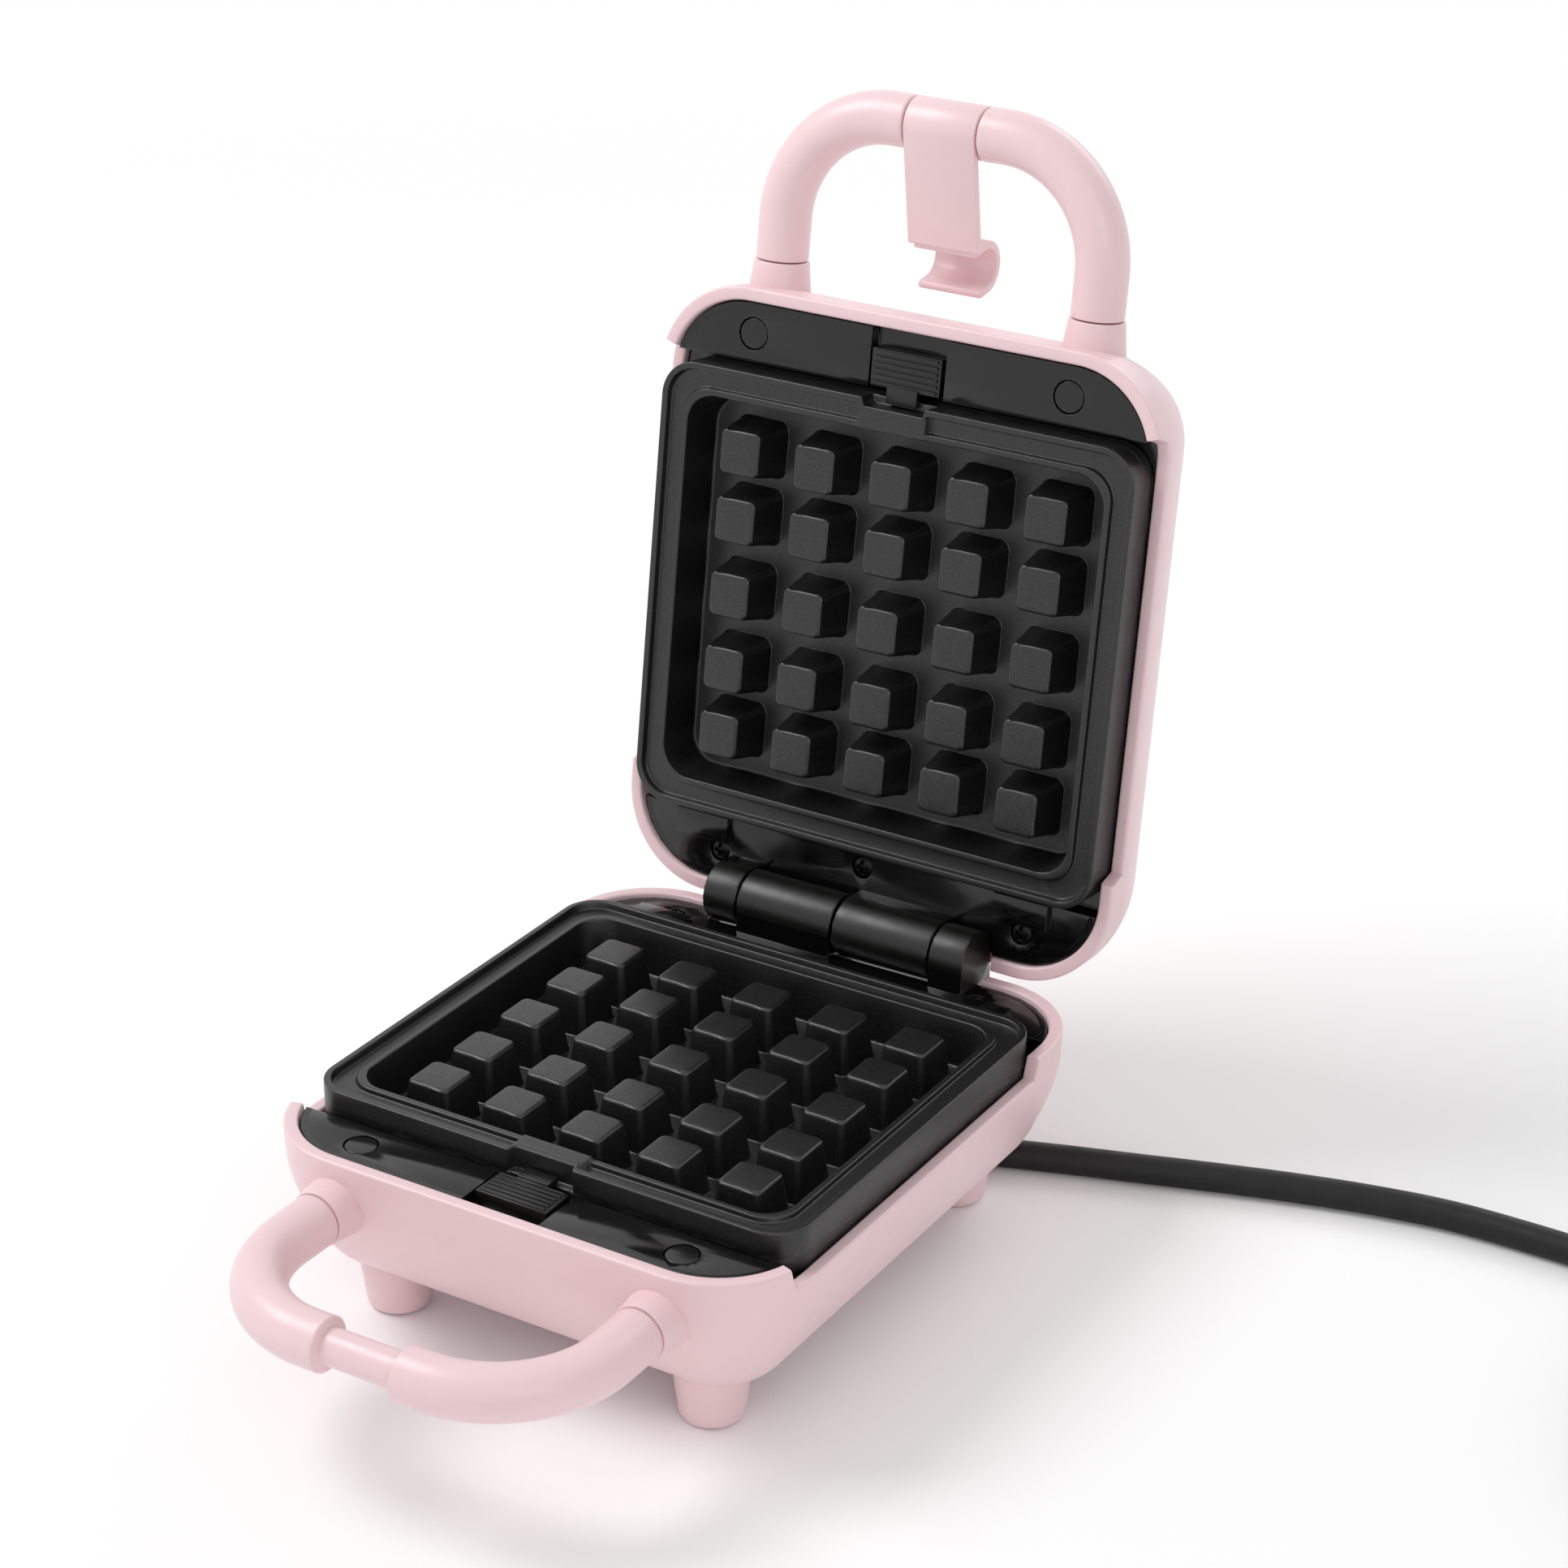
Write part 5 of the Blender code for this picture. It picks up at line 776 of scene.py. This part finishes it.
leadRoute = ((0.0572, 0.0764), (0.0757, 0.0827), (0.0941, 0.0890), (0.1125, 0.0948), (0.1312, 0.0996),
             (0.1503, 0.1027), (0.1765, 0.1032), (0.2060, 0.1022))
tailShares = ((2.6, -0.1, 0.95), (4.4, -0.5, 0.75), (6.2, -1.2, 0.65), (8.0, -2.2, 0.85), (10.0, -3.8, 1.0))
stepLeast = 0.05 * mm


def throughPoints(points, count=24):
    # Catmull-Rom curve through the points.
    points = np.asarray(points, float)
    ends = np.concatenate([[2 * points[0] - points[1]], points, [2 * points[-1] - points[-2]]])
    out = []
    for a, b, c, d in zip(ends, ends[1:], ends[2:], ends[3:]):
        for t in np.arange(count) / count:
            out.append((2 * b + (c - a) * t + (2 * a - 5 * b + 4 * c - d) * t * t
                        + (3 * b - a - 3 * c + d) * t ** 3) / 2)
    out.append(points[-1])
    return np.array(out)


def coilLine():
    radius = lead["coilDiameters"] * lead["diameter"] / 2
    lift = lead["gap"] + lead["tie"] + lead["tieGap"]
    middle = np.array([lead["coilX"], lead["coilY"], -floorDrop + lift + lead["diameter"] / 2])
    steps = lead["coilTurns"] * lead["coilSteps"]
    turns = np.linspace(0, lead["coilTurns"], steps + 1)
    half = lead["coilTurns"] / 2
    spiral = radius - lead["coilPitch"] * (half / 2 - np.abs(turns - half))
    climb = np.clip((turns - half + 0.25) / 0.5, 0, 1)
    height = lead["coilPitch"] * (3 * climb ** 2 - 2 * climb ** 3)
    angle = math.pi / 2 - 2 * math.pi * turns
    return middle + np.column_stack([spiral * np.cos(angle), spiral * np.sin(angle), height])


def leadLine():
    spot, _, way = outletFrame()
    diameter, gap = lead["diameter"], lead["gap"]
    floor = -floorDrop + diameter / 2
    start = spot + way * (lead["reliefLength"] + gap)
    coil = coilLine()
    into = (coil[1] - coil[0]) / np.linalg.norm(coil[1] - coil[0])
    coilStart = coil[0] - into * diameter
    out = coil[-1] - coil[-2]
    out[2] = 0
    out /= np.linalg.norm(coil[-1] - coil[-2])
    coilEnd = coil[-1] + out * diameter
    route = [start, start + way * diameter * 1.2]
    route += [np.array([x, y, floor]) for x, y in leadRoute]
    route += [coilStart - into * (diameter * count + gap) for count in (2, 1, 0)]
    first = throughPoints(route)
    first[:, 2] = np.maximum(first[:, 2], floor)
    side = np.array([-out[1], out[0], 0])
    tail = [coilEnd + out * gap, coilEnd + out * (gap + diameter)]
    for along, across, height in tailShares:
        place = coilEnd + out * (diameter * along) + side * (diameter * across)
        place[2] = floor + (lead["plugHeight"] / 2 - diameter / 2) * height
        tail.append(place)
    last = (tail[-1] - tail[-2]) / np.linalg.norm(tail[-1] - tail[-2])
    tail.append(tail[-1] + last * diameter)
    line = np.concatenate([first, throughPoints(np.concatenate([[coilStart], coil, [coilEnd]]), 4),
                           throughPoints(tail)])
    steps = np.linalg.norm(np.diff(line, axis=0), axis=1)
    return line[np.concatenate([[True], steps > stepLeast])]


def makeLead():
    line = toWorld(leadLine(), "base")
    curve = bpy.data.curves.new("mainsLead", "CURVE")
    curve.dimensions = "3D"
    curve.bevel_depth = lead["diameter"] / 2
    curve.bevel_resolution = 7
    curve.use_fill_caps = True
    spline = curve.splines.new("POLY")
    spline.points.add(len(line) - 1)
    spline.points.foreach_set("co", np.column_stack([line, np.ones(len(line))]).ravel())
    item = bpy.data.objects.new("mainsLead", curve)
    bpy.context.scene.collection.objects.link(item)
    curve.materials.append(cover)
    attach(item, "base")
    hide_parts("cord_lead", "cord_coil", "cord_tail")
    length = float(np.linalg.norm(np.diff(line, axis=0), axis=1).sum())
    report("lead length %.4f m" % length)
    return item, line[0], length


def makeRelief():
    spot, _, way = outletFrame()
    collar = lead["gap"] + lead["reliefRoot"] * math.sin(outlet["pitch"])
    root, tip, groove = lead["reliefRoot"], lead["reliefTip"], lead["groove"]
    low, high, stem = -lead["stemLength"], lead["reliefLength"], lead["reliefStem"]
    corners = [(low, lead["reliefHub"][0], 0), (low, stem, lead["stemRound"]),
               (collar, stem, lead["collarFoot"]), (collar, root, lead["collarRound"])]
    for ring in range(lead["reliefRings"]):
        share = (ring + 1) / (lead["reliefRings"] + 1)
        along = collar + (high - collar) * share
        wide = root + (tip - root) * share
        for shift, cut in ((-1.0, 0.0), (-0.6, 1.0), (0.6, 1.0), (1.0, 0.0)):
            corners.append((along + shift * groove, wide - cut * groove, lead["ringRound"]))
    corners += [(high, tip, lead["tipRound"]), (high, lead["reliefHub"][1], 0)]
    points, faces = turned(spot, way, rounded(corners, 3), 40)
    item = addPiece("strainRelief", toWorld(points, "base"), faces, "base", cover, 50)
    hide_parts("cord_strain_relief")
    return item


# Latch clip: its side outline carried across, with rounded edges. It hangs from the lid's bar.
clip = {"hang": math.radians(7.0), "inner": 4.45 * mm, "outer": 6.25 * mm, "drop": 33.2 * mm, "wall": 1.9 * mm,
        "plate": 2.2 * mm, "plateEnd": 27.5 * mm, "slit": 0.1 * mm, "bandHalf": 9.3 * mm, "hookHalf": 8.3 * mm,
        "edge": 0.4 * mm, "corner": 0.8 * mm, "hookCorner": 0.9 * mm, "hookStart": 1.0 * mm}


def clipPlace():
    return Matrix.Translation(jointPlace("latch_pivot")) @ Matrix.Rotation(clip["hang"], 4, "X")


def arcPoints(centreZ, radius, first, last, count):
    angle = np.linspace(first, last, count)
    return np.column_stack([radius * np.cos(angle), centreZ + radius * np.sin(angle)])


def carriedAcross(outline, half, edge):
    # Outline in (y, z) carried along X, its border eased by insetting the end outlines along their normals.
    ahead = np.roll(outline, -1, 0) - outline
    behind = outline - np.roll(outline, 1, 0)
    way = sum(leg / np.linalg.norm(leg, axis=1, keepdims=True) for leg in (ahead, behind))
    way /= np.maximum(np.linalg.norm(way, axis=1, keepdims=True), 1e-9)
    area = np.sum(outline[:, 0] * np.roll(outline[:, 1], -1) - np.roll(outline[:, 0], -1) * outline[:, 1])
    inward = np.column_stack([-way[:, 1], way[:, 0]]) * np.sign(area)
    rings = []
    ease = 0.3 * edge
    for x, tuck in ((-half, edge), (-half + ease, ease), (-half + edge, 0), (half - edge, 0),
                    (half - ease, ease), (half, edge)):
        flat = outline + inward * tuck
        rings.append(np.column_stack([np.full(len(flat), x), flat]))
    return closedLoft(rings)


def makeClip():
    inner, outer, drop, thick = (clip[key] for key in ("inner", "outer", "drop", "plate"))
    low, corner, bend = clip["plateEnd"], clip["corner"], clip["hookCorner"]
    hook, start = inner + clip["wall"], clip["hookStart"]
    # Band over the bar and the plate below it in one outline, all but closed where the band ends on the plate.
    back = -outer + thick
    end = back + clip["slit"]
    band = np.concatenate([
        arcPoints(0, outer, math.pi, -math.acos(end / outer), 60),
        arcPoints(0, inner, -math.acos(end / inner), 2 * math.pi - math.acos(back / inner), 64),
        rounded([(back, -0.6 * inner, 0), (back, -low, corner), (-outer, -low, corner),
                 (-outer, -0.1 * inner, 0)], 4)])
    hookLine = np.concatenate([
        [(-outer + thick / 2, -drop + hook)], arcPoints(-drop, hook, math.pi / 2, -math.pi / 2, 32),
        rounded([(-start, -drop - hook, 0), (-outer + thick, -drop - hook, bend),
                 (-outer + thick, -drop - inner, bend), (-start, -drop - inner, 0)], 4),
        arcPoints(-drop, inner, -math.pi / 2, math.pi / 2, 32), [(-outer + thick / 2, -drop + inner)]])
    parts = [carriedAcross(band, clip["bandHalf"], clip["edge"]),
             carriedAcross(hookLine, clip["hookHalf"], clip["edge"])]
    points, faces = stack(parts)
    place = np.array(clipPlace())
    points = points @ place[:3, :3].T + place[:3, 3]
    item = addPiece("latchClip", points, faces, "latch", pink)
    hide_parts("latch_clip")


# Stage and light
stage = {"half": 6.0, "sink": 0.05 * mm, "paper": "FAFAFA", "plain": (0.35, 1.1), "skyLight": 0.62}
lamps = {  # place, target, size and power
    "keyLight": ((-0.9, -0.35, 1.25), (0, 0, 0.1), (0.7, 0.7), 11),
    "fillLight": ((1.1, -0.9, 0.8), (0, 0, 0.1), (0.8, 0.8), 3),
    "backLight": ((0.2, 1.3, 0.9), (0, 0, 0.12), (1.0, 0.6), 4),
}


def seenDirectly(tree):
    # 1 on camera, glossy and transmission rays, and 0 on the rays that light the object.
    paths = addNode(tree, "ShaderNodeLightPath").outputs
    first = addNode(tree, "ShaderNodeMath", {0: paths["Is Camera Ray"], 1: paths["Is Glossy Ray"]},
                    operation="MAXIMUM").outputs[0]
    return addNode(tree, "ShaderNodeMath", {0: first, 1: paths["Is Transmission Ray"]},
                   operation="MAXIMUM").outputs[0]


def makeStage():
    data = bpy.data.meshes.new("floor")
    size = stage["half"]
    corners = [(-size, -size, 0), (size, -size, 0), (size, size, 0), (-size, size, 0)]
    data.from_pydata(corners, [], [(0, 1, 2, 3)])
    floor = bpy.data.objects.new("floor", data)
    bpy.context.scene.collection.objects.link(floor)
    floor.location.z = -stage["sink"]
    material, tree, surface = newMaterial("floorPaper", stage["paper"], 0.9)
    # Far from the object the floor is plain white to the eye and in mirrors; near it the shadows stay.
    place = addNode(tree, "ShaderNodeTexCoord").outputs["Object"]
    away = addNode(tree, "ShaderNodeVectorMath", {0: place}, operation="LENGTH").outputs["Value"]
    low, high = stage["plain"]
    far = addNode(tree, "ShaderNodeMapRange", {"Value": away, "From Min": low, "From Max": high},
                  interpolation_type="SMOOTHSTEP").outputs["Result"]
    share = addNode(tree, "ShaderNodeMath", {0: far, 1: seenDirectly(tree)}, operation="MULTIPLY").outputs[0]
    white = addNode(tree, "ShaderNodeEmission").outputs["Emission"]
    mix = addNode(tree, "ShaderNodeMixShader", {0: share, 1: surface.outputs["BSDF"], 2: white})
    tree.links.new(mix.outputs["Shader"], tree.nodes["Material Output"].inputs["Surface"])
    data.materials.append(material)
    world = bpy.data.worlds.new("studio")
    world.use_nodes = True
    tree = world.node_tree
    background = tree.nodes["Background"]
    background.inputs["Color"].default_value = (1, 1, 1, 1)
    # White to the eye and in mirrors, and a little lower as light on the object.
    strength = addNode(tree, "ShaderNodeMapRange", {"Value": seenDirectly(tree), "To Min": stage["skyLight"],
                                                    "To Max": 1.0})
    tree.links.new(strength.outputs["Result"], background.inputs["Strength"])
    bpy.context.scene.world = world
    bpy.context.scene.view_settings.view_transform = "Standard"


def addLamp(name, place, target, size, power):
    data = bpy.data.lights.new(name, "AREA")
    data.shape = "RECTANGLE"
    data.size, data.size_y = size
    data.energy = power
    item = bpy.data.objects.new(name, data)
    bpy.context.scene.collection.objects.link(item)
    item.location = place
    item.rotation_euler = (Vector(target) - Vector(place)).to_track_quat("-Z", "Y").to_euler()


cordPiece, cordExit, cordLength = makeLead()
relief = makeRelief()
plugPieces = [refine("plug_body", "base", cover, 1.4 * mm, 3, 20)]
for pin in ("plug_pin_live", "plug_pin_neutral", "plug_pin_earth"):
    plugPieces.append(refine(pin, "base", brass, 0.3 * mm, 2))
tie = refine("cord_tie", "base", cover, 0.15 * mm, 2)
report("lead")
for half in ("base", "lid"):
    makeShell(half)
    makeHandle(half)
    makePlate(half)
    makeFrameEdges(half)
    makeBarrels(half)
    makeCovers(half)
    makeRearScrews(half)
    refine(half + "_frame", half, black, 0.25 * mm, 2)
    refine(half + "_release_slider", half + "_slider", satin, 0.12 * mm, 2)
    refine(half + "_reflector_tray", half, sheet, 0.15 * mm, 2)
    report(half + " half")
makeClip()
nodeFinish = {"slider_spring": steel, "front_screw_left": steel, "front_screw_right": steel,
              "heating_element": sheath, "hinge_harness": sleeve}
for half in ("base", "lid"):
    for node, material in nodeFinish.items():
        frame["nodes"][half + "_" + node].data.materials[0] = material
for node, material in {"hinge_pin_left": steel, "hinge_pin_right": steel, "thermostat": ceramic,
                       "terminal_block": ceramic, "live_lead": cover, "neutral_lead": sleeve,
                       "thermal_fuse_sleeve": sleeve, "thermal_fuse": steel, "power_light_lens": redLens,
                       "ready_light_lens": greenLens, "power_lamp": ceramic, "ready_lamp": ceramic}.items():
    frame["nodes"][node].data.materials[0] = material
report("clip and small nodes")
makeStage()
for name, settings in lamps.items():
    addLamp(name, *settings)
report("stage")
